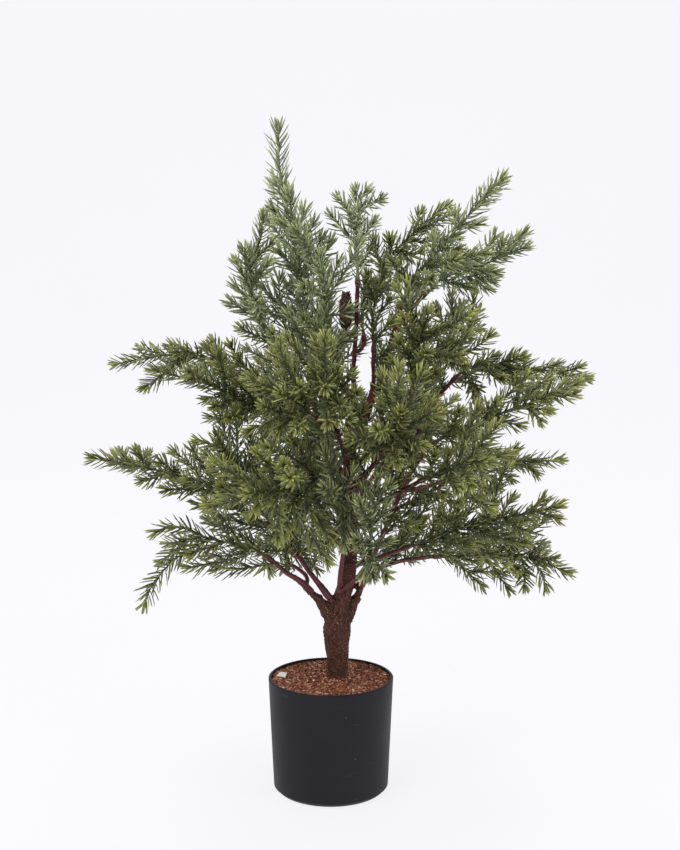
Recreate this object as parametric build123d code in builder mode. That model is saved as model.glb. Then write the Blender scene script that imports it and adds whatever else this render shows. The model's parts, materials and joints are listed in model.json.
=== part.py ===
from build123d import *
import math
import os

# Artificial tabletop tree: weighted plastic pot, bark-coated wire trunk, twenty-one bendable
# branch stems, thirty-two moulded spruce sprays pushed on stem pegs, and two small cones.
# Millimetres. Origin at the centre of the pot's resting face, +Z up, -Y is the front, +X right.

# ---- pot ----------------------------------------------------------------------------
POT_H = 104.5
POT_R_TOP = 57.5        # outer radius at the rim
POT_R_BASE = 53.0       # outer radius above the foot bevel
POT_WALL = 2.6
POT_FLOOR = 3.0
FOOT_BEVEL = 3.0        # bevel round the outside of the resting face
RIM_BEVEL = 0.8         # bevel round the outside of the rim
FLOOR_BEVEL = 2.0       # bevel between the floor and the inner wall
INNER_FLARE = 0.2       # extra inner radius at the bottom of the inner wall

INNER_FLOOR_R = POT_R_BASE - POT_WALL - FLOOR_BEVEL
INNER_FOOT_R = POT_R_BASE - POT_WALL + INNER_FLARE
INNER_RIM_R = POT_R_TOP - POT_WALL
INNER_FOOT_Z = POT_FLOOR + FLOOR_BEVEL

# ---- filling and rod ----------------------------------------------------------------
FIT = 0.3               # gap between pieces that are dropped or cast in
BALLAST_SHOULDER_Z = 6.0  # height where the ballast meets the straight inner wall
BALLAST_TOP = 86.0      # top of the cast cement weight
SOIL_EDGE_Z = 102.0     # top of the sawdust layer at the rim
SOIL_MID_Z = 103.0      # top of the sawdust layer at the pot's axis
SOIL_DOME_R = 30.0      # radius where the dome's slope changes
SOIL_DOME_DROP = 0.2    # fall of the dome from the axis to that radius
SOIL_WALL_GAP = 0.5
SOIL_TRUNK_GAP = 0.75
TRUNK_X = 5.8           # the trunk stands a little right of the pot's axis
TRUNK_FOOT_R = 8.6      # nominal trunk radius where it enters the sawdust
ROD_R = 3.0             # steel rod cast in the ballast and running up the trunk
ROD_BOTTOM, ROD_TOP = 20.0, 158.0
ROD_CHAMFER = 0.6
ROD_SIDE_GAP = 0.15     # radial gap round the rod
ROD_END_GAP = 0.2       # gap under the rod
CUT_RUNOUT = 5.0        # how far a hole's cutter runs past the face it breaks through
SOIL_CUT_L = 40.0       # length of the cutter through the sawdust

# ---- stems and sprays ---------------------------------------------------------------
STEM_R = 2.4            # plastic-coated branch wire
STEM_FORK_STEP = 0.12   # a stem's second path is this much thinner
PEG_R = 1.15            # bare end of a stem that a spray is pushed on
SOCKET_R = 1.35         # blind socket in the foot of a spray
SOCKET_DEPTH = 6.6
COLLAR_R = 2.7          # collar around that socket
COLLAR_L = 9.0
SPINE_R = 2.1           # main rib of a spray with its needle roots
TWIG_R = 1.7            # side rib of a spray with its needle roots
TWIG_STEP = 0.06        # side ribs cycle through radii this far apart
TWIG_CYCLE = 3          # number of radii in that cycle
TIP_L = 4.0             # length of a rib's slimmer end
TIP_RATIO = 0.62        # radius of the slimmer end over the rib's radius
STEM_SIDES = 12         # facets round a stem and round a spray's collar
SPINE_SIDES = 8         # facets round a main rib
TWIG_SIDES = 6          # facets round a side rib and round every slim end

# ---- trunk facets and the overrun of bar lengths at bends ---------------------------
LOWER_SIDES = 20
COLUMN_SIDES = 16
LIMB_SIDES = 14
KNUCKLE_SIDES = 10
MITRE_FACTOR = 1.12     # overrun over the exact mitre length
TAPERED_EXTRA = 0.15    # further overrun at a bend of a tapered bar
FACETED_EXTRA = 0.12    # further overrun at a joint of a faceted bar

# ---- cones --------------------------------------------------------------------------
STALK_R = 1.3
CONE_RINGS = 6
CONE_FOOT_R = 1.6
CONE_TIP_R = 0.8
SCALE_ROOT, SCALE_LIP = 0.25, 0.8  # heights of a ring's waist and lip within its pitch
WAIST_RATIO = 0.62      # waist radius over lip radius
MIN_SWELL = 0.34        # smallest lip radius over the cone's largest radius
SWELL_SHIFT, SWELL_POWER = 0.75, 2.2  # where the cone is fullest, and how blunt it is

# name: (stalk path, whose last point is the cone's foot; cone tip; largest radius)
CONES = {
    "pine_cone_upper": (
        [(22.2, 5.0, 411.2), (16.6, -9.3, 416.1), (13.3, -4.0, 425.7)],
        (13.8, 5.6, 457.0), 7.5,
    ),
    "pine_cone_lower": (
        [(66.8, -21.9, 289.6), (62.6, -38.7, 304.2), (64.3, -36.9, 313.6)],
        (77.1, -53.3, 338.5), 7.0,
    ),
}

# ---- trunk sections as (x, y, z, radius), lowest first ------------------------------
TRUNK_LOWER = [
    (5.8, 0.0, 86.3, 8.9), (5.8, 0.0, 100.0, 8.8), (5.6, 0.0, 115.7, 9.2),
    (5.6, 0.0, 133.7, 10.6), (5.7, 0.0, 149.6, 12.4), (6.6, 0.0, 163.0, 10.6),
]
CENTRE_COLUMN = [
    (6.6, 0.0, 160.8, 9.0), (10.2, 0.0, 177.9, 7.0), (14.8, 0.0, 194.8, 6.0),
    (17.5, 0.0, 217.2, 5.4), (17.5, 0.0, 250.5, 5.0), (15.7, 0.0, 287.3, 4.7),
    (16.5, 0.0, 314.7, 4.3), (19.2, 2.0, 341.8, 3.6), (21.0, 3.0, 352.6, 3.0),
]
# short limbs: to the left, to the right, and between them
TRUNK_LIMBS = [
    [(2.0, 0.0, 157.3, 7.6), (-6.2, -4.0, 170.6, 5.1), (-12.5, -7.0, 180.7, 4.2)],
    [(13.0, 0.0, 159.0, 7.4), (20.3, 2.0, 171.8, 5.0), (24.0, 3.0, 178.1, 4.1)],
    [(5.7, 0.0, 162.0, 7.0), (2.0, 0.0, 174.2, 4.6), (0.2, 0.0, 179.8, 3.9)],
]
# Short knuckles of the trunk, each narrowing almost to a point where a branch stem starts.
# Three (x, y, z) points each, and the radii that all knuckles share at those points.
KNUCKLE_RADII = (2.8, 2.1, 0.45)
TRUNK_KNUCKLES = [
    [(14.8, -0.1, 292), (8.97, -0.7, 294.76), (7.88, -0.98, 297.32)],  # leader
    [(20.7, 2.8, 351.2), (21.03, 2.89, 356.8), (21, 2.99, 359.6)],  # crown
    [(16.8, -0.7, 317.1), (17.97, -8.74, 320.44), (19.02, -8.98, 323.02)],  # upper centre
    [(17.3, 0.8, 316.8), (23.25, 6.95, 317.39), (24.23, 7, 320.01)],  # upper right
    [(16.6, -0.8, 295.9), (20.05, -5.04, 297.05), (21.78, -5.94, 299.06)],  # mid right
    [(16.7, 1, 279.4), (20.36, 7.78, 281.11), (22.36, 7.99, 283.06)],  # right upper
    [(23.4, 2.3, 177.4), (26.95, -3.51, 187.43), (27.93, -3.97, 190.02)],  # right mid
    [(17.5, -1.3, 250.6), (17.72, -7.87, 250.99), (19.1, -9.86, 252.4)],  # right front
    [(16.7, -1.6, 209.3), (17.76, -12.35, 211.11), (19.94, -13.89, 211.94)],  # right low front
    [(15.5, 0.4, 190.4), (26.64, 2.75, 189.11), (28.47, 3.92, 190.87)],  # right low
    [(16.1, 0.3, 229.8), (3.05, 3.39, 231.16), (2.07, 3.96, 233.72)],  # left upper
    [(1.2, -0.9, 176.4), (0.2, -7.75, 178.51), (-1.48, -7.98, 180.74)],  # left mid
    [(-12.2, -6.8, 179.9), (-16.34, -8.59, 183.96), (-17.8, -9.91, 185.96)],  # left low
    [(15.2, -0.8, 281.3), (6.92, -9.48, 282.71), (5.78, -11.83, 283.73)],  # front left
    [(10.1, -2, 180.7), (6.67, -11.68, 183.7), (7.57, -13.38, 186.19)],  # front low
    [(16, -1, 304.4), (14.39, -11.98, 307.36), (13.84, -13.87, 309.36)],  # upper front
    [(16.7, -1.1, 275.2), (20.75, -11.99, 276.73), (21.73, -13.87, 278.57)],  # front right
    [(15.7, 1.1, 279.5), (12.23, 9.58, 282.13), (11.18, 11.84, 283.41)],  # back left
    [(17.8, 1.2, 252.7), (20.07, 9, 253.87), (21.12, 10.87, 255.67)],  # back right
    [(18.2, 1.8, 329.5), (21.45, 9.69, 331.4), (21.22, 11.85, 333.17)],  # back top
    [(16.8, 1.2, 236.2), (12.5, 9.19, 237.82), (12.13, 11.81, 238.73)],  # back low
]

# ---- branch stems -------------------------------------------------------------------
# name: (wire paths, pegs as (spray it carries, start, direction, length))
STEMS = {
    "leader_stem": (
        [[(7.8, -1.0, 297.5), (-4.3, -4.1, 325.8), (-13.1, -7.2, 349.9), (-14.7, -7.9, 359.7),
          (-14.3, -8.5, 376.6)]],
        [("leader_top", (-14.3, -8.5, 376.6), (0.0479, -0.0040, 0.9988), 6.8),
         ("leader_front", (-14.7, -7.8, 359.1), (0.1657, -0.5798, 0.7978), 15.2),
         ("leader_left", (-14.9, -8.1, 365.2), (-0.6117, -0.1819, 0.7699), 13.2)],
    ),
    "crown_stem": (
        [[(21.0, 3.0, 359.8), (20.7, 4.0, 386.9), (22.5, 5.6, 419.9), (24.2, 9.3, 462.8)],
         [(21.9, 4.6, 403.5), (24.8, 7.4, 403.7), (26.7, 9.5, 404.6), (30.6, 15.6, 410.0)]],
        [("crown_top", (24.2, 9.3, 462.8), (-0.0050, 0.1354, 0.9908), 6.8),
         ("crown_side", (30.6, 15.6, 410.0), (-0.1000, 0.1999, 0.9747), 8.4)],
    ),
    "upper_centre_stem": (
        [[(19.1, -9.0, 323.2), (27.8, -11.0, 344.4), (36.9, -13.0, 370.7), (38.3, -13.7, 379.5),
          (37.8, -14.5, 395.4), (38.4, -14.9, 402.4)]],
        [("upper_centre_spray", (38.4, -14.9, 402.4), (-0.0159, 0.3493, 0.9369), 7.6)],
    ),
    "upper_right_stem": (
        [[(24.3, 7.0, 320.2), (30.6, 7.3, 337.1), (36.6, 7.1, 355.2), (41.3, 7.9, 368.4),
          (48.4, 9.8, 389.2), (57.1, 12.9, 421.1), (64.4, 15.3, 443.9)],
         [(55.6, 12.5, 416.0), (67.3, 14.9, 434.2), (82.6, 18.4, 451.9)]],
        [("right_top", (64.4, 15.3, 443.9), (0.2382, -0.5207, 0.8198), 8.0),
         ("right_high", (82.6, 18.4, 451.9), (0.7106, 0.2703, 0.6496), 7.0)],
    ),
    "mid_right_stem": (
        [[(21.9, -6.0, 299.2), (40.4, -15.6, 320.7), (52.6, -20.3, 335.7), (58.7, -22.1, 344.7),
          (64.5, -23.5, 355.0), (68.8, -25.3, 364.9), (72.3, -27.5, 375.1)],
         [(66.9, -24.3, 359.9), (79.8, -15.6, 380.6), (86.2, -11.8, 392.4), (91.8, -9.1, 403.8)]],
        [("mid_right_front", (72.3, -27.5, 375.1), (-0.1058, -0.6572, 0.7463), 8.2),
         ("mid_right_back", (91.8, -9.1, 403.8), (0.5732, 0.7179, 0.3951), 8.2)],
    ),
    "right_upper_stem": (
        [[(22.5, 8.0, 283.2), (40.3, 9.8, 300.6), (56.3, 10.5, 317.1), (79.4, 10.3, 342.0),
          (109.8, 9.6, 376.4)]],
        [("right_upper_spray", (109.8, 9.6, 376.4), (0.7259, -0.0461, 0.6863), 6.8)],
    ),
    "right_mid_stem": (
        [[(28.0, -4.0, 190.2), (44.1, -11.6, 232.7), (53.7, -15.4, 255.4), (64.6, -21.0, 285.0),
          (74.3, -24.8, 303.3), (85.8, -29.6, 321.5)]],
        [("right_mid_spray", (85.8, -29.6, 321.5), (0.7767, -0.3212, 0.5418), 7.6)],
    ),
    "right_front_stem": (
        [[(19.2, -10.0, 252.5), (32.0, -28.5, 265.6), (46.4, -46.9, 277.2), (61.1, -61.3, 287.5),
          (76.1, -73.3, 298.3)],
         [(61.2, -61.5, 287.6), (71.3, -57.0, 288.4), (77.0, -53.1, 288.7), (87.1, -43.4, 289.5),
          (98.4, -29.3, 290.3)]],
        [("right_front_spray", (76.1, -73.3, 298.3), (0.5700, -0.7372, 0.3628), 7.2),
         ("right_side_spray", (98.4, -29.3, 290.3), (0.8781, 0.4450, 0.1756), 7.6)],
    ),
    "right_low_front_stem": (
        [[(20.1, -14.0, 212.0), (31.9, -22.3, 216.5), (38.6, -25.8, 219.5), (49.8, -29.8, 224.8),
          (63.3, -33.1, 230.9)]],
        [("right_low_front_spray", (63.3, -33.1, 230.9), (0.8871, -0.2945, 0.3555), 6.8)],
    ),
    "right_low_stem": (
        [[(28.6, 4.0, 191.0), (37.1, 9.4, 199.2), (43.6, 12.3, 202.8), (50.9, 14.7, 205.2),
          (60.4, 16.8, 207.6), (70.2, 18.4, 209.3), (93.9, 21.3, 211.9)]],
        [("right_low_spray", (93.9, 21.3, 211.9), (0.9639, -0.2617, 0.0499), 7.6)],
    ),
    "left_upper_stem": (
        [[(2.0, 4.0, 233.9), (-4.0, 7.5, 249.5), (-15.0, 11.6, 268.2), (-23.8, 14.5, 285.9),
          (-31.1, 17.2, 306.6), (-41.7, 20.9, 347.2), (-46.8, 21.7, 358.0), (-53.9, 22.3, 369.0)]],
        [("left_upper_tip", (-53.9, 22.3, 369.0), (-0.7736, 0.0779, 0.6289), 7.4),
         ("left_upper_side", (-47.2, 21.7, 358.7), (-0.6958, -0.6490, -0.3078), 9.2)],
    ),
    "left_mid_stem": (
        [[(-1.6, -8.0, 180.9), (-11.8, -9.4, 194.4), (-18.9, -8.9, 204.0), (-37.9, -4.9, 229.3),
          (-45.3, -3.3, 237.1), (-53.4, -1.5, 244.3)]],
        [("left_mid_tip", (-53.4, -1.5, 244.3), (-0.8849, -0.0737, 0.4598), 7.4),
         ("left_mid_side", (-45.7, -3.0, 237.4), (-0.3808, -0.6151, 0.6904), 12.2)],
    ),
    "left_low_stem": (
        [[(-17.9, -10.0, 186.1), (-24.1, -15.6, 194.6), (-27.8, -18.5, 198.3),
          (-38.8, -25.4, 207.4), (-51.9, -32.1, 220.7)],
         [(-21.9, -13.5, 191.7), (-21.5, -5.4, 197.4), (-24.1, 0.2, 200.5), (-31.6, 8.7, 204.3),
          (-40.7, 16.0, 207.0)]],
        [("left_low_tip", (-51.9, -32.1, 220.7), (-0.8487, -0.1220, 0.5145), 7.4),
         ("left_low_inner", (-40.7, 16.0, 207.0), (-0.0620, 0.7135, 0.6979), 8.4)],
    ),
    "front_left_stem": (
        [[(5.7, -12.0, 283.8), (-0.0, -23.8, 288.9), (-7.3, -40.7, 293.9)]],
        [("front_left_spray", (-7.3, -40.7, 293.9), (-0.5322, -0.8464, 0.0200), 7.4)],
    ),
    "front_low_stem": (
        [[(7.9, -14.0, 187.1), (9.2, -21.2, 208.9), (11.1, -28.5, 226.3)],
         [(7.9, -14.0, 187.1), (18.0, -28.7, 198.3), (27.0, -45.9, 212.5), (29.9, -51.3, 217.7),
          (33.5, -58.3, 226.7)]],
        [("front_low_spray", (11.1, -28.5, 226.3), (0.0484, -0.6029, 0.7964), 7.2),
         ("front_low_right_spray", (33.5, -58.3, 226.7), (0.0372, -0.4304, 0.9019), 7.4)],
    ),
    "upper_front_stem": (
        [[(13.8, -14.0, 309.5), (5.1, -43.6, 340.8), (3.0, -51.9, 350.6), (0.8, -64.0, 366.3)],
         [(6.4, -38.8, 335.4), (-5.4, -53.8, 344.0), (-20.2, -73.5, 357.1)]],
        [("upper_front_centre", (0.8, -64.0, 366.3), (-0.0731, -0.9239, 0.3755), 7.8),
         ("upper_front_left", (-20.2, -73.5, 357.1), (-0.0416, -0.9180, 0.3943), 7.8)],
    ),
    "front_right_stem": (
        [[(21.8, -14.0, 278.7), (49.2, -66.2, 329.9)]],
        [("front_right_spray", (49.2, -66.2, 329.9), (0.1098, -0.9001, 0.4216), 7.6)],
    ),
    "back_left_stem": (
        [[(11.1, 12.0, 283.5), (0.6, 34.5, 296.3), (-6.5, 47.5, 304.4), (-17.9, 66.0, 316.7),
          (-30.3, 84.0, 328.6)]],
        [("back_left_spray", (-30.3, 84.0, 328.6), (-0.4799, 0.8488, 0.2219), 7.4)],
    ),
    "back_right_stem": (
        [[(21.2, 11.0, 255.8), (31.7, 29.6, 273.8), (40.8, 42.8, 285.7), (57.1, 62.7, 302.8),
          (78.2, 84.0, 320.8)]],
        [("back_right_spray", (78.2, 84.0, 320.8), (0.5033, 0.8334, 0.2282), 7.6)],
    ),
    "back_top_stem": (
        [[(21.2, 12.0, 333.3), (19.5, 27.4, 346.0), (17.5, 35.9, 354.1), (13.5, 46.9, 366.4),
          (8.4, 58.0, 381.0)]],
        [("back_top_spray", (8.4, 58.0, 381.0), (-0.2061, 0.5993, 0.7736), 6.8)],
    ),
    "back_low_stem": (
        [[(12.1, 12.0, 238.8), (8.9, 34.6, 246.7), (4.9, 59.5, 256.6), (0.6, 82.0, 264.2)]],
        [("back_low_spray", (0.6, 82.0, 264.2), (-0.2182, 0.9650, 0.1455), 7.0)],
    ),
}
# A spray's socket points along the peg that carries it.
SOCKET_DIRECTIONS = {
    spray: direction for _, pegs in STEMS.values() for spray, _, direction, _ in pegs
}

# ---- sprays -------------------------------------------------------------------------
# name: (socket mouth, [path of the main rib, then paths of the side ribs])
SPRAYS = {
    "leader_top": ((-14.3, -8.5, 377.1), [
        [(-14.2, -8.5, 379.1), (-13.8, -8.5, 386.1), (-13.1, -8.6, 401.6), (-13.9, -8.7, 413.5),
         (-24.0, -9.6, 451.1), (-29.4, -11.2, 489.7), (-41.3, -15.1, 546.3),
         (-44.4, -17.2, 570.0), (-44.9, -19.3, 590.9)],
        [(-33.8, -12.7, 510.9), (-46.7, -12.2, 524.5)],
        [(-30.5, -11.6, 495.1), (-26.5, -5.5, 512.2), (-24.6, -3.7, 521.6)],
        [(-28.1, -10.8, 480.3), (-17.7, 13.1, 512.8)],
        [(-26.0, -10.2, 465.5), (-10.7, 20.4, 499.5)],
        [(-24.0, -9.6, 451.4), (-3.6, 25.3, 496.5)],
        [(-26.7, -10.4, 470.6), (-41.1, -33.6, 488.3)],
        [(-13.5, -8.6, 393.0), (-33.3, -1.7, 413.8), (-39.8, 1.3, 423.3), (-42.8, 3.5, 431.4),
         (-45.5, 6.9, 444.7), (-46.2, 11.8, 463.9)],
    ]),
    "leader_front": ((-13.2, -13.0, 366.2), [
        [(-12.9, -14.1, 367.8), (-11.7, -18.2, 373.4), (-10.9, -21.1, 377.4),
         (-9.3, -27.0, 389.9), (-6.8, -33.9, 413.7), (-2.3, -39.6, 442.7), (-2.0, -41.9, 455.5),
         (-6.9, -44.6, 470.3), (-27.7, -52.5, 509.3), (-32.0, -55.2, 523.4),
         (-33.8, -57.3, 535.0)],
        [(-16.1, -48.1, 487.5), (-21.5, -72.0, 498.6), (-25.8, -82.2, 505.3)],
        [(-3.1, -42.5, 458.7), (4.9, -35.9, 477.5)],
        [(-3.2, -38.5, 437.1), (8.2, -44.5, 438.2), (13.1, -47.0, 440.5)],
        [(-7.4, -32.3, 408.0), (6.6, -40.2, 412.8), (15.1, -44.0, 418.3)],
        [(-2.1, -41.2, 451.6), (-11.8, -66.8, 457.3), (-18.8, -86.6, 460.6)],
        [(-5.8, -35.1, 419.9), (-12.7, -60.0, 427.5), (-19.7, -76.4, 433.5)],
        [(-25.8, -51.8, 505.8), (-33.8, -60.2, 510.4), (-38.1, -63.4, 513.2)],
    ]),
    "leader_left": ((-19.2, -9.4, 370.6), [
        [(-20.4, -9.7, 372.1), (-24.7, -11.0, 377.5), (-38.1, -15.0, 394.4),
         (-48.1, -18.7, 410.0), (-58.9, -23.4, 432.0), (-67.6, -28.3, 455.9),
         (-69.1, -30.6, 468.5), (-67.9, -32.6, 479.3), (-59.3, -37.6, 506.4),
         (-57.9, -39.3, 516.0)],
        [(-66.9, -33.2, 482.6), (-54.1, -27.0, 496.0)],
        [(-68.6, -31.4, 472.7), (-71.9, -51.4, 489.8)],
        [(-67.7, -28.4, 456.6), (-78.0, -32.4, 477.4)],
        [(-68.2, -29.2, 460.9), (-53.3, -66.4, 479.2)],
        [(-62.8, -25.6, 442.8), (-79.5, -21.6, 458.6)],
        [(-58.9, -23.4, 432.1), (-81.8, -39.4, 446.2)],
        [(-58.9, -23.4, 432.1), (-59.9, -87.3, 449.7)],
        [(-48.0, -18.7, 409.9), (-62.3, -38.2, 418.8), (-71.7, -53.5, 424.5)],
        [(-38.4, -15.1, 394.9), (-41.2, -43.9, 410.3), (-46.4, -71.5, 420.8)],
    ]),
    "crown_top": ((24.2, 9.4, 463.3), [
        [(24.2, 9.6, 465.3), (24.2, 10.6, 472.3), (24.0, 14.7, 502.3), (23.4, 16.3, 538.1),
         (22.9, 16.3, 541.1)],
        [(23.4, 16.2, 535.9), (29.3, 9.4, 543.1)],
        [(23.6, 15.9, 528.4), (33.3, -2.4, 533.6), (40.7, -17.3, 536.3)],
        [(24.0, 14.0, 497.1), (31.0, 22.2, 508.5), (36.8, 29.3, 516.0)],
        [(23.8, 15.2, 513.9), (15.7, 3.8, 528.0), (10.4, -2.6, 534.9)],
        [(24.0, 14.0, 497.1), (16.1, 12.6, 506.0), (11.6, 14.0, 511.1), (5.3, 18.4, 518.9),
         (3.4, 20.7, 521.5)],
        [(23.9, 14.8, 505.5), (20.1, 39.0, 520.8), (16.9, 49.9, 530.8)],
        [(23.9, 15.0, 509.9), (22.9, -9.5, 519.7), (24.4, -25.6, 525.6)],
    ]),
    "crown_side": ((30.4, 16.0, 412.1), [
        [(30.2, 16.4, 414.0), (29.5, 17.8, 420.9), (28.2, 20.4, 433.4), (31.9, 28.7, 464.1)],
        [(28.7, 19.4, 428.6), (15.4, 44.8, 440.6)],
        [(28.8, 21.7, 438.4), (35.2, 25.3, 450.4), (38.5, 23.8, 457.5)],
    ]),
    "upper_centre_spray": ((38.4, -14.4, 403.7), [
        [(38.3, -13.7, 405.5), (38.2, -11.3, 412.1), (37.8, -1.7, 437.8), (51.6, 13.9, 484.1),
         (58.4, 17.2, 493.3), (85.4, 26.6, 518.2), (100.7, 31.0, 530.2)],
        [(47.8, 9.7, 471.5), (42.8, 23.1, 488.2), (40.8, 29.0, 498.3)],
        [(51.9, 14.0, 484.5), (53.0, 12.8, 490.4), (53.5, 9.7, 494.3), (53.2, 1.3, 499.8),
         (52.9, -2.5, 501.3)],
        [(58.1, 17.1, 492.9), (69.0, -17.2, 489.2), (72.1, -23.5, 489.3), (74.8, -27.5, 490.4)],
        [(73.7, 22.5, 507.4), (80.5, 38.2, 524.6)],
        [(40.6, 1.5, 447.3), (36.3, -7.3, 455.5), (34.1, -14.5, 460.3), (32.2, -32.2, 468.8)],
        [(38.0, -6.4, 425.2), (44.7, -7.5, 440.1), (48.4, -8.2, 444.9)],
        [(38.2, -11.5, 411.6), (50.3, -24.8, 428.4)],
    ]),
    "right_top": ((64.8, 14.4, 445.3), [
        [(65.3, 13.3, 447.0), (67.0, 9.7, 452.7), (68.7, 5.9, 458.7), (74.9, -1.8, 471.3),
         (89.0, -11.6, 486.7), (99.3, -17.4, 498.9), (111.8, -22.6, 513.7),
         (124.7, -25.7, 528.8), (136.2, -26.6, 542.6), (144.2, -26.1, 550.2)],
        [(111.8, -22.6, 513.7), (120.4, -25.4, 513.9), (123.3, -26.1, 514.6)],
        [(108.6, -21.3, 509.9), (110.8, 0.3, 522.8)],
        [(94.0, -14.4, 492.6), (106.3, -43.7, 493.6)],
        [(79.8, -5.2, 476.7), (91.8, -28.0, 479.4), (102.9, -50.1, 483.5)],
        [(71.7, 3.3, 465.7), (62.3, -17.3, 473.2), (56.2, -35.0, 479.7)],
        [(86.8, -10.1, 484.4), (91.0, 0.8, 494.7), (92.2, 9.7, 501.2)],
        [(70.2, 5.8, 462.3), (76.6, -22.4, 463.3), (83.7, -55.3, 467.1)],
    ]),
    "right_high": ((83.1, 18.6, 452.4), [
        [(84.6, 19.1, 453.7), (89.5, 21.0, 458.2), (98.9, 24.6, 466.8), (111.9, 28.7, 475.1),
         (119.1, 30.6, 477.8), (141.0, 36.0, 482.0), (153.5, 39.1, 487.4), (174.3, 45.0, 506.4)],
        [(132.9, 34.0, 480.4), (150.5, 56.5, 504.9)],
        [(147.5, 37.6, 484.8), (152.4, 26.5, 492.9), (153.9, 20.7, 497.9)],
        [(125.4, 32.2, 479.0), (141.0, 28.9, 475.2), (145.9, 27.8, 474.8)],
        [(118.7, 30.5, 477.7), (134.2, 35.0, 469.9), (143.5, 37.6, 467.7)],
        [(111.5, 28.6, 474.9), (142.1, 52.7, 460.9)],
        [(99.5, 24.8, 467.2), (109.8, 3.2, 464.3), (117.4, -9.4, 462.4)],
        [(99.5, 24.8, 467.2), (110.8, 58.4, 485.5)],
        [(154.0, 39.2, 487.8), (172.3, 28.4, 495.3)],
    ]),
    "mid_right_front": ((72.1, -28.8, 376.6), [
        [(71.9, -30.1, 378.0), (71.1, -34.7, 383.3), (70.4, -39.3, 388.5), (71.3, -50.6, 401.0),
         (80.6, -86.0, 437.6)],
        [(71.0, -46.4, 396.3), (61.1, -55.8, 411.6)],
        [(74.2, -61.6, 412.4), (65.9, -83.0, 424.7), (62.1, -96.4, 432.5)],
        [(74.2, -61.6, 412.4), (86.6, -67.0, 422.0)],
        [(70.4, -39.0, 388.2), (75.1, -66.1, 396.6), (78.7, -100.2, 407.0)],
        [(71.2, -34.4, 382.9), (58.8, -42.1, 393.4)],
        [(71.2, -34.4, 382.9), (79.6, -56.6, 385.0), (86.1, -75.8, 389.5)],
    ]),
    "mid_right_back": ((92.9, -7.7, 404.6), [
        [(94.1, -6.3, 405.4), (98.1, -1.2, 408.1), (102.1, 3.8, 410.9), (106.6, 11.4, 417.3),
         (110.7, 24.9, 432.7), (111.5, 35.7, 449.3)],
        [(97.8, -1.6, 407.9), (108.8, -8.7, 405.8), (113.4, -8.3, 407.9), (117.7, -7.7, 412.0),
         (121.7, -6.7, 418.9), (125.5, -4.6, 431.2), (126.7, -0.4, 449.8)],
        [(97.8, -1.6, 407.9), (111.1, -13.2, 405.7), (121.7, -20.5, 405.7),
         (128.6, -24.3, 409.8), (135.2, -26.3, 415.5)],
        [(97.8, -1.6, 407.9), (105.8, -19.6, 399.4), (112.5, -34.9, 395.4)],
        [(107.6, 14.5, 420.9), (101.6, 31.7, 431.0), (99.3, 40.1, 437.5)],
        [(103.4, -8.3, 404.7), (104.1, -12.9, 399.6), (104.5, -19.5, 397.5),
         (105.0, -24.4, 397.0), (106.8, -36.1, 398.6)],
    ]),
    "right_upper_spray": ((110.2, 9.6, 376.8), [
        [(111.7, 9.5, 378.2), (116.7, 9.2, 383.0), (124.5, 8.7, 388.1), (136.1, 7.9, 391.1),
         (147.1, 7.0, 392.0), (159.0, 5.9, 391.5), (182.5, 3.2, 387.3), (209.2, -0.6, 385.3),
         (223.6, -3.2, 381.7)],
        [(151.5, 6.6, 391.8), (161.1, -0.9, 395.7), (166.9, -9.6, 398.3)],
        [(151.5, 6.6, 391.8), (162.4, 13.0, 397.1)],
        [(186.6, 2.6, 387.0), (200.2, 9.7, 390.0)],
        [(159.1, 5.9, 391.5), (165.2, -17.3, 379.9)],
        [(132.8, 8.1, 390.3), (139.4, 18.6, 393.8), (144.9, 23.3, 396.5)],
        [(136.0, 7.9, 391.1), (142.1, -12.5, 385.0), (146.8, -23.5, 382.9)],
        [(200.6, 0.6, 385.9), (212.1, 9.7, 380.4), (216.5, 14.4, 376.2)],
        [(120.2, 9.0, 385.2), (124.0, -4.7, 378.7), (127.4, -23.7, 374.0)],
        [(209.2, -0.6, 385.3), (216.4, -9.4, 389.0)],
    ]),
    "right_mid_spray": ((86.8, -30.0, 322.2), [
        [(88.4, -30.7, 323.3), (93.8, -32.9, 327.1), (102.0, -36.3, 332.8), (123.1, -43.6, 341.4),
         (152.1, -53.2, 356.1), (170.9, -58.7, 363.4), (190.6, -64.3, 373.8),
         (203.2, -67.4, 378.9)],
        [(140.1, -49.2, 350.0), (152.6, -48.9, 345.2), (158.3, -48.5, 344.0)],
        [(167.5, -57.7, 362.1), (171.6, -67.2, 355.6), (173.8, -74.2, 352.9)],
        [(164.0, -56.7, 360.7), (175.8, -56.6, 358.3), (181.5, -55.3, 357.6)],
        [(184.0, -62.4, 370.3), (194.0, -72.1, 370.1), (199.3, -77.6, 371.4)],
        [(120.1, -42.6, 340.2), (125.7, -34.5, 353.4)],
        [(131.5, -46.4, 345.7), (133.8, -63.8, 355.9), (136.9, -78.6, 363.1)],
        [(101.6, -36.1, 332.5), (109.6, -28.5, 323.8), (114.9, -24.7, 321.2)],
        [(105.3, -37.5, 334.2), (105.0, -66.2, 347.8), (106.7, -75.9, 354.4)],
        [(156.6, -54.5, 357.9), (160.2, -48.6, 365.1), (161.1, -47.7, 366.7)],
    ]),
    "right_front_spray": ((76.6, -74.0, 298.6), [
        [(77.8, -75.5, 299.4), (81.8, -80.6, 301.9), (110.2, -117.4, 320.0),
         (117.6, -126.3, 322.7), (121.6, -130.8, 323.0)],
        [(87.2, -87.7, 305.4), (84.2, -99.1, 314.3), (84.6, -113.5, 322.9)],
        [(102.8, -107.8, 315.3), (107.8, -105.8, 324.1)],
        [(107.5, -113.9, 318.3), (110.1, -141.5, 309.0)],
        [(96.1, -99.1, 311.0), (100.9, -120.0, 301.7)],
        [(92.1, -94.0, 308.5), (97.2, -93.3, 316.6), (97.7, -93.0, 319.4)],
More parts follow.
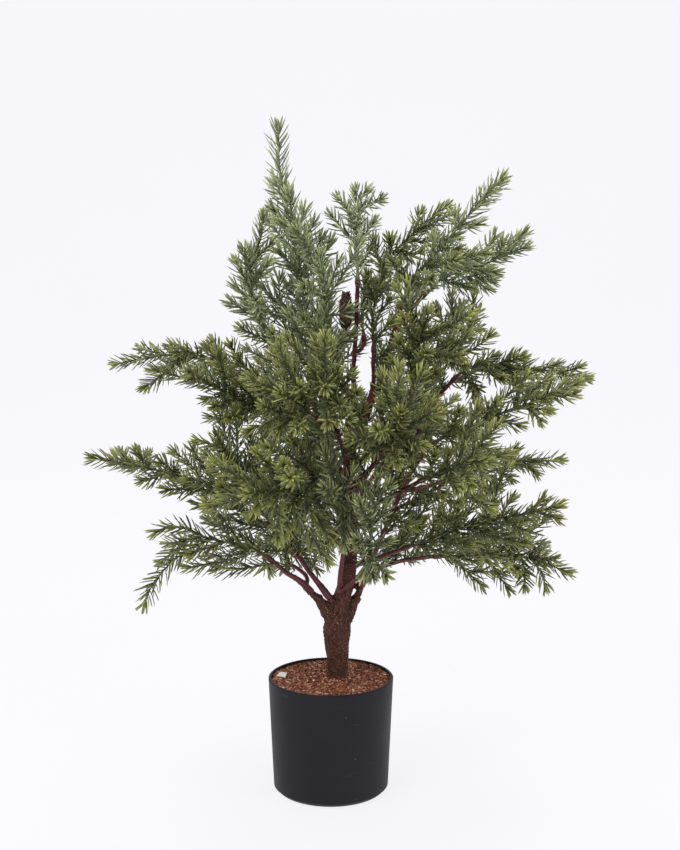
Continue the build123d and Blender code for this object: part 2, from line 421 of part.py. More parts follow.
        [(81.5, -80.3, 301.7), (91.8, -91.2, 292.7)],
        [(114.7, -122.8, 321.6), (121.9, -116.2, 312.3)],
        [(81.5, -80.3, 301.7), (70.2, -88.1, 308.7), (68.6, -90.1, 311.7)],
    ]),
    "right_side_spray": ((99.6, -28.7, 290.5), [
        [(101.3, -27.8, 290.9), (107.5, -24.7, 292.1), (157.4, 0.6, 302.1), (206.2, 21.6, 302.0)],
        [(154.6, -0.8, 301.5), (162.8, -3.8, 311.5)],
        [(176.7, 8.9, 302.1), (182.4, 4.5, 296.6)],
        [(145.9, -5.2, 299.8), (161.1, 8.8, 289.3)],
        [(122.1, -17.3, 295.0), (135.5, 13.2, 279.6), (146.4, 34.4, 271.8)],
        [(131.9, -12.3, 297.0), (147.4, 35.5, 302.9)],
        [(110.4, -23.2, 292.7), (117.4, -15.8, 285.5), (121.1, -14.6, 282.4),
         (127.4, -17.0, 278.3)],
    ]),
    "right_low_front_spray": ((63.8, -33.3, 231.1), [
        [(65.6, -33.9, 231.8), (71.8, -35.9, 234.3), (88.0, -41.3, 240.8), (118.9, -52.5, 255.2),
         (144.7, -62.1, 264.0), (170.8, -72.4, 270.7), (188.0, -79.7, 277.4)],
        [(168.9, -71.7, 270.2), (178.2, -70.6, 278.3)],
        [(176.8, -75.0, 273.1), (186.3, -88.6, 270.4)],
        [(146.9, -63.0, 264.6), (151.5, -55.2, 272.3), (154.7, -51.5, 275.7)],
        [(108.1, -48.6, 250.2), (115.0, -34.3, 256.7), (118.6, -29.5, 260.4),
         (122.3, -26.7, 264.3), (125.5, -25.8, 268.0), (127.8, -26.9, 271.0)],
        [(130.3, -56.7, 259.1), (135.1, -81.1, 279.0)],
        [(146.9, -63.0, 264.6), (161.8, -92.1, 260.0)],
        [(88.0, -41.3, 240.8), (89.7, -54.5, 256.1), (93.1, -64.8, 268.0)],
        [(108.1, -48.6, 250.2), (108.8, -67.7, 264.9), (108.5, -85.2, 276.4)],
        [(119.6, -52.8, 255.4), (139.6, -36.6, 247.6), (157.2, -19.1, 240.1)],
        [(71.3, -35.8, 234.1), (79.6, -30.8, 250.7)],
        [(94.3, -43.6, 243.8), (117.1, -63.9, 241.8)],
    ]),
    "right_low_spray": ((95.2, 20.9, 212.0), [
        [(97.1, 20.4, 212.1), (103.9, 18.6, 212.4), (117.1, 15.0, 213.1), (147.4, 5.4, 217.9),
         (163.4, -0.4, 218.9), (183.7, -8.6, 216.4), (207.3, -19.8, 209.0)],
        [(112.2, 16.3, 212.8), (138.4, 30.7, 184.7)],
        [(131.1, 10.6, 215.3), (142.2, 10.0, 210.9), (146.6, 9.8, 207.7), (160.1, 8.6, 189.1)],
        [(173.4, -4.4, 217.7), (173.1, -26.0, 209.1), (170.8, -41.6, 203.0)],
        [(183.2, -8.4, 216.5), (190.9, -9.0, 203.1), (193.3, -9.7, 196.4)],
        [(178.5, -6.5, 217.0), (194.3, -34.2, 222.1)],
        [(157.4, 1.8, 218.5), (177.6, 15.1, 223.0), (192.9, 24.9, 223.1)],
        [(136.1, 9.0, 216.1), (157.6, 31.1, 217.9), (176.2, 49.5, 217.6)],
        [(121.8, 13.5, 213.8), (134.8, 36.3, 214.8), (147.7, 56.5, 214.8)],
        [(103.4, 18.7, 212.4), (109.4, 37.7, 218.1), (116.0, 52.2, 221.2)],
        [(178.5, -6.5, 217.0), (186.4, 1.4, 222.5), (190.9, 4.9, 221.8)],
        [(152.0, 3.7, 218.2), (161.1, -22.1, 219.0), (162.9, -40.6, 217.1)],
    ]),
    "left_upper_tip": ((-54.8, 22.4, 369.7), [
        [(-56.3, 22.5, 371.0), (-61.8, 23.1, 375.4), (-67.8, 23.7, 380.3), (-78.7, 24.7, 387.2),
         (-89.8, 25.6, 391.7), (-107.3, 26.9, 395.4), (-130.1, 28.6, 397.7),
         (-155.0, 30.5, 398.2), (-193.2, 33.3, 391.2)],
        [(-135.2, 29.0, 397.8), (-143.3, 19.5, 389.5), (-162.4, 1.4, 374.8)],
        [(-116.7, 27.6, 396.4), (-126.9, 6.9, 402.7), (-134.0, -6.1, 403.7)],
        [(-97.9, 26.2, 393.4), (-108.2, 45.4, 407.6)],
        [(-82.4, 25.0, 388.7), (-88.5, 13.1, 405.0)],
        [(-130.5, 28.6, 397.7), (-139.5, 43.1, 403.9), (-147.8, 53.2, 405.5)],
        [(-155.0, 30.5, 398.2), (-167.7, 43.1, 401.8), (-174.1, 49.6, 402.4)],
    ]),
    "left_upper_side": ((-49.3, 19.8, 357.8), [
        [(-50.6, 18.5, 357.2), (-55.5, 13.9, 355.0), (-68.0, 2.9, 355.7), (-84.2, -11.7, 363.1),
         (-103.9, -31.2, 376.8), (-117.4, -43.3, 382.8)],
        [(-90.7, -18.2, 367.7), (-103.7, -24.1, 364.4)],
        [(-110.1, -36.8, 379.6), (-116.7, -65.7, 389.2)],
        [(-71.9, -0.6, 357.5), (-98.2, 12.8, 342.1), (-105.4, 16.2, 342.0)],
        [(-84.0, -11.5, 363.0), (-91.2, -35.0, 360.2), (-96.8, -52.0, 360.0)],
        [(-68.1, 2.8, 355.8), (-73.7, -10.1, 367.3), (-78.4, -17.5, 372.3)],
        [(-68.1, 2.8, 355.8), (-75.9, -24.6, 351.4), (-83.7, -56.4, 351.0)],
        [(-96.4, -23.8, 371.6), (-103.8, -9.2, 379.5), (-107.5, -4.7, 383.3),
         (-109.6, -3.3, 384.9)],
    ]),
    "left_mid_tip": ((-54.4, -1.6, 244.8), [
        [(-56.2, -1.7, 245.7), (-62.4, -2.2, 249.0), (-73.8, -3.2, 254.9), (-122.6, -7.6, 284.3),
         (-139.5, -9.1, 293.0), (-202.5, -14.8, 308.3), (-206.4, -15.1, 308.6)],
        [(-114.7, -6.9, 279.5), (-124.0, 8.5, 295.5), (-140.7, 24.5, 307.3)],
        [(-147.6, -9.8, 295.0), (-159.7, 0.1, 289.4), (-167.9, 6.6, 286.6)],
        [(-114.7, -6.9, 279.5), (-129.5, -25.4, 283.2), (-138.9, -40.5, 285.6)],
        [(-92.7, -4.9, 266.3), (-116.2, -1.4, 264.9)],
        [(-161.5, -11.1, 298.4), (-167.9, -29.4, 314.0)],
        [(-182.0, -12.9, 303.3), (-189.8, 2.5, 308.7)],
        [(-136.7, -8.8, 291.5), (-142.3, -28.1, 303.0), (-146.3, -38.3, 308.0)],
        [(-161.5, -11.1, 298.4), (-167.3, 6.8, 302.8), (-168.3, 15.4, 305.2)],
    ]),
    "left_mid_side": ((-48.0, -6.7, 241.5), [
        [(-48.7, -7.9, 242.9), (-51.4, -12.2, 247.7), (-54.8, -17.7, 253.9),
         (-65.9, -28.9, 270.5), (-75.2, -34.8, 287.1), (-86.5, -42.7, 314.7),
         (-90.8, -44.6, 319.9), (-96.3, -46.4, 323.8), (-108.9, -50.3, 328.2)],
        [(-80.6, -38.6, 300.2), (-88.4, -52.9, 316.1), (-94.0, -68.0, 332.2)],
        [(-75.4, -34.9, 287.5), (-98.9, -31.3, 297.5)],
        [(-78.9, -37.4, 296.0), (-72.4, -10.0, 309.6), (-72.3, 6.0, 317.8), (-73.4, 14.9, 322.4)],
        [(-70.8, -32.0, 279.2), (-83.2, -56.6, 285.2), (-89.6, -72.1, 291.2)],
        [(-70.8, -32.0, 279.2), (-64.2, 5.4, 284.9), (-60.2, 30.0, 291.7)],
        [(-83.8, -40.8, 308.0), (-107.2, -16.5, 312.2)],
        [(-78.9, -37.4, 296.0), (-85.2, -62.2, 306.3), (-88.5, -81.9, 315.1)],
    ]),
    "left_low_tip": ((-52.9, -32.2, 221.3), [
        [(-54.6, -32.5, 222.3), (-60.5, -33.3, 225.9), (-67.9, -34.4, 230.4),
         (-84.8, -36.3, 236.2), (-108.9, -38.2, 242.2), (-125.0, -39.2, 249.9),
         (-133.8, -39.5, 251.5), (-143.8, -39.8, 251.5), (-149.2, -39.9, 249.2)],
        [(-84.9, -36.3, 236.2), (-95.2, -17.0, 244.1), (-109.9, 5.6, 248.0)],
        [(-105.3, -37.9, 241.3), (-122.8, -49.5, 234.3), (-135.8, -58.8, 226.2),
         (-149.4, -71.0, 212.2), (-154.1, -76.9, 204.2), (-156.4, -81.2, 197.9)],
        [(-111.7, -38.4, 243.5), (-122.1, -29.8, 238.8), (-141.8, -15.1, 232.8)],
        [(-70.5, -34.7, 231.3), (-78.9, -39.6, 226.4), (-89.3, -44.7, 223.3),
         (-118.1, -58.2, 221.0)],
        [(-60.1, -33.3, 225.7), (-66.4, -33.0, 233.5), (-69.5, -29.9, 236.0),
         (-75.5, -21.0, 238.5), (-77.9, -16.4, 238.8)],
        [(-92.0, -36.9, 238.0), (-115.8, -59.7, 234.1)],
        [(-60.1, -33.3, 225.7), (-56.2, -31.4, 215.7)],
    ]),
    "left_low_inner": ((-40.8, 17.5, 208.5), [
        [(-41.0, 19.0, 209.9), (-41.4, 24.0, 214.8), (-39.7, 33.7, 224.2), (-35.7, 42.2, 231.8),
         (-28.2, 53.8, 241.5)],
        [(-41.4, 23.6, 214.4), (-20.5, 33.3, 230.8), (-18.2, 35.3, 234.7), (-17.6, 36.5, 237.4)],
        [(-41.4, 23.6, 214.4), (-49.8, 27.2, 226.7), (-53.5, 28.6, 234.6)],
        [(-41.4, 23.6, 214.4), (-54.2, 42.0, 215.3), (-65.6, 58.6, 217.1)],
        [(-39.8, 33.3, 223.8), (-45.2, 56.7, 233.8), (-47.4, 75.9, 242.4)],
        [(-41.4, 23.6, 214.4), (-30.5, 21.0, 215.1), (-24.8, 20.6, 217.5)],
    ]),
    "front_left_spray": ((-7.9, -41.7, 293.9), [
        [(-9.0, -43.4, 294.0), (-12.7, -49.3, 294.1), (-36.6, -87.3, 295.0),
         (-62.6, -132.2, 298.3)],
        [(-12.4, -48.9, 294.1), (-18.8, -68.2, 308.1), (-30.4, -99.2, 322.0),
         (-46.5, -141.2, 335.4)],
        [(-16.8, -55.9, 294.3), (-32.3, -95.9, 281.6)],
        [(-32.9, -81.5, 294.9), (-35.8, -141.7, 320.8)],
        [(-46.5, -104.4, 296.2), (-56.7, -106.8, 302.5), (-62.2, -108.1, 304.1)],
        [(-55.8, -120.4, 297.4), (-57.7, -124.3, 289.2)],
        [(-36.5, -87.1, 295.0), (-45.4, -95.1, 285.7)],
        [(-12.4, -48.9, 294.1), (-24.3, -60.7, 301.3), (-32.6, -68.3, 305.1)],
        [(-23.0, -65.6, 294.5), (-26.7, -116.7, 306.9), (-30.2, -157.9, 314.4)],
    ]),
    "front_low_spray": ((11.1, -29.1, 227.1), [
        [(11.2, -30.3, 228.6), (11.6, -34.5, 234.2), (12.4, -44.7, 247.7), (11.5, -70.2, 283.4),
         (13.0, -75.9, 291.4), (17.4, -84.6, 304.0)],
        [(11.6, -67.2, 279.2), (4.2, -88.7, 290.2), (-2.5, -107.6, 296.8)],
        [(12.0, -57.3, 265.4), (3.6, -58.8, 275.2)],
        [(12.1, -53.2, 259.6), (20.9, -96.2, 283.3)],
        [(12.3, -48.5, 253.1), (4.6, -56.8, 259.3), (1.6, -60.5, 262.9)],
        [(12.1, -53.2, 259.6), (19.5, -61.4, 263.5), (21.4, -64.1, 265.7)],
    ]),
    "front_low_right_spray": ((33.5, -58.8, 227.7), [
        [(33.6, -59.7, 229.5), (33.9, -62.7, 235.9), (35.4, -80.3, 272.8), (38.8, -92.9, 299.9)],
        [(33.9, -62.5, 235.4), (39.0, -87.5, 230.1), (44.6, -109.4, 227.1)],
        [(34.8, -73.4, 258.3), (39.6, -76.0, 264.5), (42.8, -75.9, 268.4), (45.9, -73.1, 272.7)],
        [(34.8, -73.4, 258.3), (25.9, -114.4, 283.5)],
        [(35.4, -80.1, 272.4), (29.8, -80.0, 284.1), (29.0, -80.0, 288.0)],
        [(35.9, -82.2, 276.8), (47.1, -105.4, 296.7)],
        [(34.0, -64.5, 239.7), (23.5, -95.9, 251.0)],
        [(34.0, -64.5, 239.7), (44.5, -68.7, 243.7)],
        [(33.9, -62.5, 235.4), (35.1, -87.5, 222.7)],
    ]),
    "upper_front_centre": ((0.7, -65.4, 366.9), [
        [(0.5, -67.3, 367.6), (0.0, -73.7, 370.3), (-1.4, -91.8, 377.6), (-4.4, -109.6, 383.6),
         (-5.0, -120.4, 385.0), (-3.3, -131.2, 383.7)],
        [(0.1, -73.3, 370.1), (10.3, -137.1, 366.8)],
        [(-0.6, -82.0, 373.6), (5.0, -103.3, 391.1)],
        [(-1.4, -91.3, 377.4), (-8.9, -109.6, 387.5), (-11.8, -118.7, 393.2)],
        [(0.1, -73.3, 370.1), (14.0, -99.3, 371.4), (20.3, -119.7, 376.6)],
        [(0.1, -73.3, 370.1), (10.7, -81.9, 378.9), (15.5, -93.2, 387.6)],
        [(0.1, -73.3, 370.1), (-0.8, -141.1, 357.1)],
    ]),
    "upper_front_left": ((-20.3, -74.9, 357.7), [
        [(-20.3, -76.8, 358.5), (-20.6, -83.2, 361.3), (-22.7, -129.4, 381.1)],
        [(-21.1, -92.7, 365.4), (-29.5, -114.5, 371.8), (-36.0, -128.4, 376.8)],
        [(-21.1, -92.7, 365.4), (-54.3, -101.3, 378.8)],
        [(-20.6, -82.7, 361.1), (-45.0, -82.2, 352.1), (-63.3, -89.0, 345.0)],
        [(-21.1, -92.7, 365.4), (-21.7, -112.1, 357.7), (-24.4, -136.5, 352.4)],
        [(-20.6, -82.7, 361.1), (-34.3, -91.3, 352.3), (-40.8, -102.6, 346.8)],
        [(-21.1, -92.7, 365.4), (-16.6, -94.2, 378.8), (-16.5, -94.9, 383.6)],
        [(-31.5, -119.4, 373.3), (-36.4, -118.0, 385.8)],
        [(-35.6, -78.8, 354.5), (-50.7, -115.9, 365.2)],
    ]),
    "front_right_spray": ((49.3, -67.4, 330.5), [
        [(49.6, -69.2, 331.3), (50.3, -75.5, 334.3), (54.8, -112.1, 351.4), (56.0, -133.8, 361.4)],
        [(52.3, -91.2, 341.6), (83.9, -122.7, 361.7)],
        [(51.2, -82.4, 337.5), (44.9, -95.3, 351.5), (42.4, -104.0, 361.0)],
        [(52.3, -91.2, 341.6), (38.8, -141.4, 350.0)],
        [(52.3, -91.2, 341.6), (60.3, -90.0, 352.3), (64.4, -91.2, 358.0), (71.1, -95.8, 367.0),
         (72.6, -97.5, 369.0)],
        [(50.3, -75.1, 334.1), (37.2, -80.6, 336.5), (30.3, -91.4, 344.1)],
        [(51.2, -82.4, 337.5), (63.5, -104.3, 338.9), (71.1, -116.1, 336.8)],
        [(51.2, -82.4, 337.5), (51.2, -105.6, 329.5), (53.5, -125.5, 324.1)],
        [(51.2, -82.4, 337.5), (34.0, -109.1, 328.5)],
        [(52.3, -91.2, 341.6), (57.0, -90.2, 359.2), (57.7, -90.0, 368.2)],
    ]),
    "back_left_spray": ((-30.9, 85.0, 328.9), [
        [(-31.8, 86.7, 329.3), (-35.2, 92.6, 330.9), (-47.6, 114.6, 336.6), (-75.5, 158.6, 346.3)],
        [(-37.5, 96.7, 331.9), (-53.5, 120.3, 326.1), (-67.1, 142.8, 316.0)],
        [(-37.5, 96.7, 331.9), (-42.6, 114.9, 357.1)],
        [(-51.0, 119.9, 337.8), (-55.0, 138.7, 350.6), (-60.5, 152.9, 360.3)],
        [(-37.5, 96.7, 331.9), (-57.4, 107.2, 308.0)],
        [(-57.5, 130.3, 340.0), (-74.4, 132.9, 331.0)],
        [(-34.9, 92.2, 330.7), (-25.0, 93.2, 344.5), (-24.2, 99.6, 355.9)],
    ]),
    "back_right_spray": ((78.9, 85.1, 321.1), [
        [(79.9, 86.8, 321.6), (83.4, 92.6, 323.2), (102.9, 124.9, 332.0), (123.5, 158.6, 343.5)],
        [(85.6, 96.3, 324.2), (116.0, 142.6, 312.5)],
        [(85.6, 96.3, 324.2), (90.7, 116.3, 347.4)],
        [(96.3, 114.0, 329.0), (101.0, 136.6, 343.2), (108.4, 156.6, 354.4)],
        [(83.2, 92.2, 323.0), (106.4, 111.0, 299.7)],
        [(105.8, 129.7, 333.6), (125.9, 130.0, 334.4)],
        [(83.2, 92.2, 323.0), (71.9, 101.9, 346.2)],
    ]),
    "back_top_spray": ((8.3, 58.3, 381.4), [
        [(7.9, 59.5, 383.0), (6.4, 63.7, 388.4), (-7.0, 102.7, 438.7)],
        [(6.5, 63.4, 388.0), (-14.4, 90.1, 411.7)],
        [(1.7, 77.6, 406.2), (11.3, 97.3, 415.4), (16.8, 112.7, 425.0)],
        [(6.5, 63.4, 388.0), (18.0, 72.9, 396.4), (27.5, 79.7, 404.5)],
        [(-2.6, 90.0, 422.4), (-12.9, 83.5, 435.1), (-17.8, 79.6, 443.0)],
        [(-0.4, 83.6, 414.1), (-9.2, 106.1, 424.4), (-10.9, 118.2, 431.0)],
        [(4.8, 68.5, 394.6), (10.0, 97.8, 402.7), (11.9, 121.4, 409.8)],
    ]),
    "back_low_spray": ((0.4, 82.7, 264.3), [
        [(-0.0, 84.7, 264.6), (-1.5, 91.4, 265.6), (-9.6, 127.1, 271.0), (-18.0, 155.5, 274.4)],
        [(-3.0, 97.8, 266.6), (18.9, 142.1, 277.6)],
        [(-1.4, 90.9, 265.5), (-27.8, 132.4, 259.4)],
        [(-1.4, 90.9, 265.5), (28.0, 113.9, 257.2)],
        [(-1.4, 90.9, 265.5), (-16.8, 95.6, 252.7), (-28.0, 105.3, 242.5)],
        [(-9.5, 126.5, 270.9), (3.6, 160.3, 285.9)],
        [(-1.4, 90.9, 265.5), (28.2, 100.9, 238.2)],
        [(-4.9, 106.5, 267.9), (-21.1, 127.9, 271.8), (-31.8, 143.0, 276.9)],
    ]),
}


# ---- helpers ------------------------------------------------------------------------
def save(part, name):
    part.label = name
    export_step(part, f"parts/{name}.step")


def inner_radius(z):
    """Radius of the pot's inner wall at height z."""
    fraction = (z - INNER_FOOT_Z) / (POT_H - INNER_FOOT_Z)
    return INNER_FOOT_R + (INNER_RIM_R - INNER_FOOT_R) * fraction


def distance(start, end):
    return (Vector(*end) - Vector(*start)).length


def unit(start, end):
    return (Vector(*end) - Vector(*start)).normalized()


def bend_angles(directions):
    """Angle in degrees at each inner point of a path."""
    return [u.get_angle(v) for u, v in zip(directions, directions[1:])]


def mitre(radius, angle):
    return radius * math.tan(math.radians(angle) / 2) * MITRE_FACTOR


def prism(origin, direction, radius, sides, length, taper=0.0):
    """A loose many-sided bar. Its sketch has no parent, so it joins no open builder."""
    with BuildSketch(Plane(origin=origin, z_dir=direction)) as outline:
        RegularPolygon(radius, sides)
    return extrude(outline.sketch, amount=length, taper=taper, mode=Mode.PRIVATE)


def tapered_bar(sections, sides):
    """Lengths of a tapering bar through (x, y, z, radius) sections, overrun at the bends."""
    points = [section[:3] for section in sections]
    radii = [section[3] for section in sections]
    directions = [unit(a, b) for a, b in zip(points, points[1:])]
    angles = [0.0] + bend_angles(directions) + [0.0]
    past = [
        mitre(radius, angle) + (TAPERED_EXTRA if angle else 0.0)
        for radius, angle in zip(radii, angles)
    ]
    lengths = []
    for i, direction in enumerate(directions):
        span = distance(points[i], points[i + 1])
        slope = (radii[i] - radii[i + 1]) / span
        lean = math.degrees(math.atan(slope * math.cos(math.pi / sides)))
        origin = Vector(*points[i]) - direction * past[i]
        start_radius = radii[i] + slope * past[i]
        total = span + past[i] + past[i + 1]
        lengths.append(prism(origin, direction, start_radius, sides, total, lean))
    return lengths


def faceted_bar(points, radius, sides):
    """Lengths of an even bar along points, each run on past its bends so that they knit."""
    directions = [unit(a, b) for a, b in zip(points, points[1:])]
    joints = [mitre(radius, angle) + FACETED_EXTRA for angle in bend_angles(directions)]
    past = [0.0] + joints + [0.0]
    lengths = []
    for i, direction in enumerate(directions):
        origin = Vector(*points[i]) - direction * past[i]
        total = distance(points[i], points[i + 1]) + past[i] + past[i + 1]
        lengths.append(prism(origin, direction, radius, sides, total))
    return lengths


# ---- pieces -------------------------------------------------------------------------
def make_pot():
    """Tapered shell with a bevelled foot and rim."""
    with BuildPart() as pot:
        with BuildSketch(Plane.XZ):
            with BuildLine():
                Polyline(
                    (0, 0), (POT_R_BASE - FOOT_BEVEL, 0), (POT_R_BASE, FOOT_BEVEL),
                    (POT_R_TOP, POT_H - RIM_BEVEL), (POT_R_TOP - RIM_BEVEL, POT_H),
                    (INNER_RIM_R, POT_H), (INNER_FOOT_R, INNER_FOOT_Z),
                    (INNER_FLOOR_R, POT_FLOOR), (0, POT_FLOOR), (0, 0),
                )
            make_face()
        revolve(axis=Axis.Z)
    save(pot.part, "pot")


def make_ballast():
    """Cement cast round the foot of the rod."""
    bottom = POT_FLOOR + FIT
    with BuildPart() as ballast:
        with BuildSketch(Plane.XZ):
            with BuildLine():
                Polyline(
                    (0, bottom), (INNER_FLOOR_R - FIT, bottom),
                    (inner_radius(BALLAST_SHOULDER_Z) - FIT, BALLAST_SHOULDER_Z),
                    (inner_radius(BALLAST_TOP) - FIT, BALLAST_TOP),
                    (0, BALLAST_TOP), (0, bottom),
                )
            make_face()
        revolve(axis=Axis.Z)
        with BuildSketch(Plane.XY.offset(ROD_BOTTOM - ROD_END_GAP)):
            with Locations((TRUNK_X, 0)):
                Circle(ROD_R + ROD_SIDE_GAP)
        extrude(amount=BALLAST_TOP - ROD_BOTTOM + CUT_RUNOUT, mode=Mode.SUBTRACT)
    save(ballast.part, "cement_ballast")


def make_topping():
    """Sawdust layer: a shallow dome with the trunk's hole."""
    bottom = BALLAST_TOP + FIT
    with BuildPart() as topping:
        with BuildSketch(Plane.XZ):
            with BuildLine():
                Polyline(
                    (0, bottom), (inner_radius(BALLAST_TOP) - SOIL_WALL_GAP, bottom),
                    (inner_radius(SOIL_EDGE_Z) - SOIL_WALL_GAP, SOIL_EDGE_Z),
                    (SOIL_DOME_R, SOIL_MID_Z - SOIL_DOME_DROP), (0, SOIL_MID_Z), (0, bottom),
                )
            make_face()
        revolve(axis=Axis.Z)
        with BuildSketch(Plane.XY.offset(BALLAST_TOP - CUT_RUNOUT)):
            with Locations((TRUNK_X, 0)):
                Circle(TRUNK_FOOT_R + SOIL_TRUNK_GAP)
        extrude(amount=SOIL_CUT_L, mode=Mode.SUBTRACT)
    save(topping.part, "sawdust_topping")


def make_rod():
    """Steel rod that ties the trunk to the ballast."""
    with BuildPart() as rod:
        with BuildSketch(Plane.XY.offset(ROD_BOTTOM)):
            with Locations((TRUNK_X, 0)):
                Circle(ROD_R)
        extrude(amount=ROD_TOP - ROD_BOTTOM)
        chamfer(rod.edges().filter_by(GeomType.CIRCLE), ROD_CHAMFER)
    save(rod.part, "trunk_rod")


def make_trunk():
    """Lower trunk, centre column, three limbs and the knuckles, bored for the rod."""
    with BuildPart() as trunk:
        lengths = tapered_bar(TRUNK_LOWER, LOWER_SIDES)
        lengths += tapered_bar(CENTRE_COLUMN, COLUMN_SIDES)
        for limb in TRUNK_LIMBS:
            lengths += tapered_bar(limb, LIMB_SIDES)
        for points in TRUNK_KNUCKLES:
            knuckle = [(*point, radius) for point, radius in zip(points, KNUCKLE_RADII)]
            lengths += tapered_bar(knuckle, KNUCKLE_SIDES)
        add(lengths)
        with BuildSketch(Plane.XY.offset(BALLAST_TOP - CUT_RUNOUT)):
            with Locations((TRUNK_X, 0)):
                Circle(ROD_R + ROD_SIDE_GAP)
        extrude(amount=ROD_TOP + FIT - BALLAST_TOP + CUT_RUNOUT, mode=Mode.SUBTRACT)
    save(trunk.part, "trunk")


def make_stem(name, paths, pegs):
    """Coated wire with bare round pegs for the sprays."""
    with BuildPart() as stem:
        lengths = []
        for k, points in enumerate(paths):
            lengths += faceted_bar(points, STEM_R - STEM_FORK_STEP * k, STEM_SIDES)
        add(lengths)
        for _, start, direction, length in pegs:
            with BuildSketch(Plane(origin=start, z_dir=direction)):
                Circle(PEG_R)
            extrude(amount=length)
    save(stem.part, name)


def rib_bars(points, radius, sides):
    """A rib and the slim end that carries on from its last point."""
    tip = prism(points[-1], unit(points[-2], points[-1]), radius * TIP_RATIO, TWIG_SIDES, TIP_L)
    return faceted_bar(points, radius, sides) + [tip]


def make_spray(name, mouth, ribs):
    """Ribs with slim ends, and a socketed collar at the foot."""
    direction = SOCKET_DIRECTIONS[name]
    with BuildPart() as spray:
        with BuildSketch(Plane(origin=mouth, z_dir=direction)):
            RegularPolygon(COLLAR_R, STEM_SIDES)
        extrude(amount=COLLAR_L)
        lengths = rib_bars(ribs[0], SPINE_R, SPINE_SIDES)
        for k, points in enumerate(ribs[1:], start=1):
            lengths += rib_bars(points, TWIG_R - TWIG_STEP * (k % TWIG_CYCLE), TWIG_SIDES)
        add(lengths)
        with BuildSketch(Plane(origin=mouth, z_dir=direction)):
            Circle(SOCKET_R)
        extrude(amount=SOCKET_DEPTH, mode=Mode.SUBTRACT)
    save(spray.part, name)


def cone_outline(length, max_radius):
    """Half outline of a cone as (radius, height): a waist and a lip for each ring."""
    outline = [(0, 0), (CONE_FOOT_R, 0)]
    for i in range(CONE_RINGS):
        waist = (i + SCALE_ROOT) / CONE_RINGS
        lip = (i + SCALE_LIP) / CONE_RINGS
        swell = max(MIN_SWELL, 1 - abs(2 * lip - SWELL_SHIFT) ** SWELL_POWER)
        outline.append((WAIST_RATIO * max_radius * swell, waist * length))
        outline.append((max_radius * swell, lip * length))
    return outline + [(CONE_TIP_R, length), (0, length)]


def make_cone(name, stalk, tip, max_radius):
    """Stacked rings of scales on a thin bent stalk."""
    foot = stalk[-1]
    direction = unit(foot, tip)
    side = direction.cross(Vector(0, 1, 0.2)).normalized()
    with BuildPart() as cone:
        with BuildSketch(Plane(origin=foot, x_dir=side, z_dir=side.cross(direction))):
            with BuildLine():
                Polyline(*cone_outline(distance(foot, tip), max_radius), close=True)
            make_face()
        revolve(axis=Axis(foot, direction))
        with BuildLine():
            Polyline(*stalk)
        with BuildSketch(Plane(origin=stalk[0], z_dir=unit(stalk[0], stalk[1]))):
            Circle(STALK_R)
        sweep(transition=Transition.RIGHT)
    save(cone.part, name)


os.makedirs("parts", exist_ok=True)
make_pot()
make_ballast()
make_topping()
make_rod()
make_trunk()
for name, (paths, pegs) in STEMS.items():
    make_stem(name, paths, pegs)
for name, (mouth, ribs) in SPRAYS.items():
    make_spray(name, mouth, ribs)
for name, (stalk, tip, max_radius) in CONES.items():
    make_cone(name, stalk, tip, max_radius)
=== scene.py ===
"""A potted artificial conifer: a bark trunk, coated wire branches, sprays of plastic needles,
two cones, and a pot topped with glued sawdust.

The tree stands upright along +Z. The camera looks along +Y, so front is -Y, back is +Y,
left is -X and right is +X. Tables and mesh code are in millimetres; meshes are scaled to
metres when they are made. Studio, lights and camera are in metres.
"""
import json
import math

import bmesh
import bpy
import numpy as np
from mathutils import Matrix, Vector, noise


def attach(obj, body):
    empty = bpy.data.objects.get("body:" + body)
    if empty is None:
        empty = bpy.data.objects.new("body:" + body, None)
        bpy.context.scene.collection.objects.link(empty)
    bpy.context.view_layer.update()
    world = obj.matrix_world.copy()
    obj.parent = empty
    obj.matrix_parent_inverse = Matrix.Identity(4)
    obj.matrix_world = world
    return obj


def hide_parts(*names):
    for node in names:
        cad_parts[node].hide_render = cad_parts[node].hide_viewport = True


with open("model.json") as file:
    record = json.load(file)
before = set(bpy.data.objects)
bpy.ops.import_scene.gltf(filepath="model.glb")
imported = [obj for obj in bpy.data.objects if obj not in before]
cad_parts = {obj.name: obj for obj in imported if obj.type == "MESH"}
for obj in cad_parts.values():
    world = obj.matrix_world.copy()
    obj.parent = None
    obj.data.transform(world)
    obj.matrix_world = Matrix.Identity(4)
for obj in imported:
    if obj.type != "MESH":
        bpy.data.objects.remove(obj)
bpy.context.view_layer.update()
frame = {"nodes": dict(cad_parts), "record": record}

NODES = frame["nodes"]
BODY = {part: body for body, parts in frame["record"]["behaviour"]["bodies"].items()
        for part in parts}

MM = 0.001
GOLDEN_ANGLE = 2.39996
TURN = 6.28  # about one turn, the range of random angles

# ---- tables of paths -----------------------------------------------------------------------
# Each line is one path of "x y z" points. A line that ends in a comma runs on to the next.

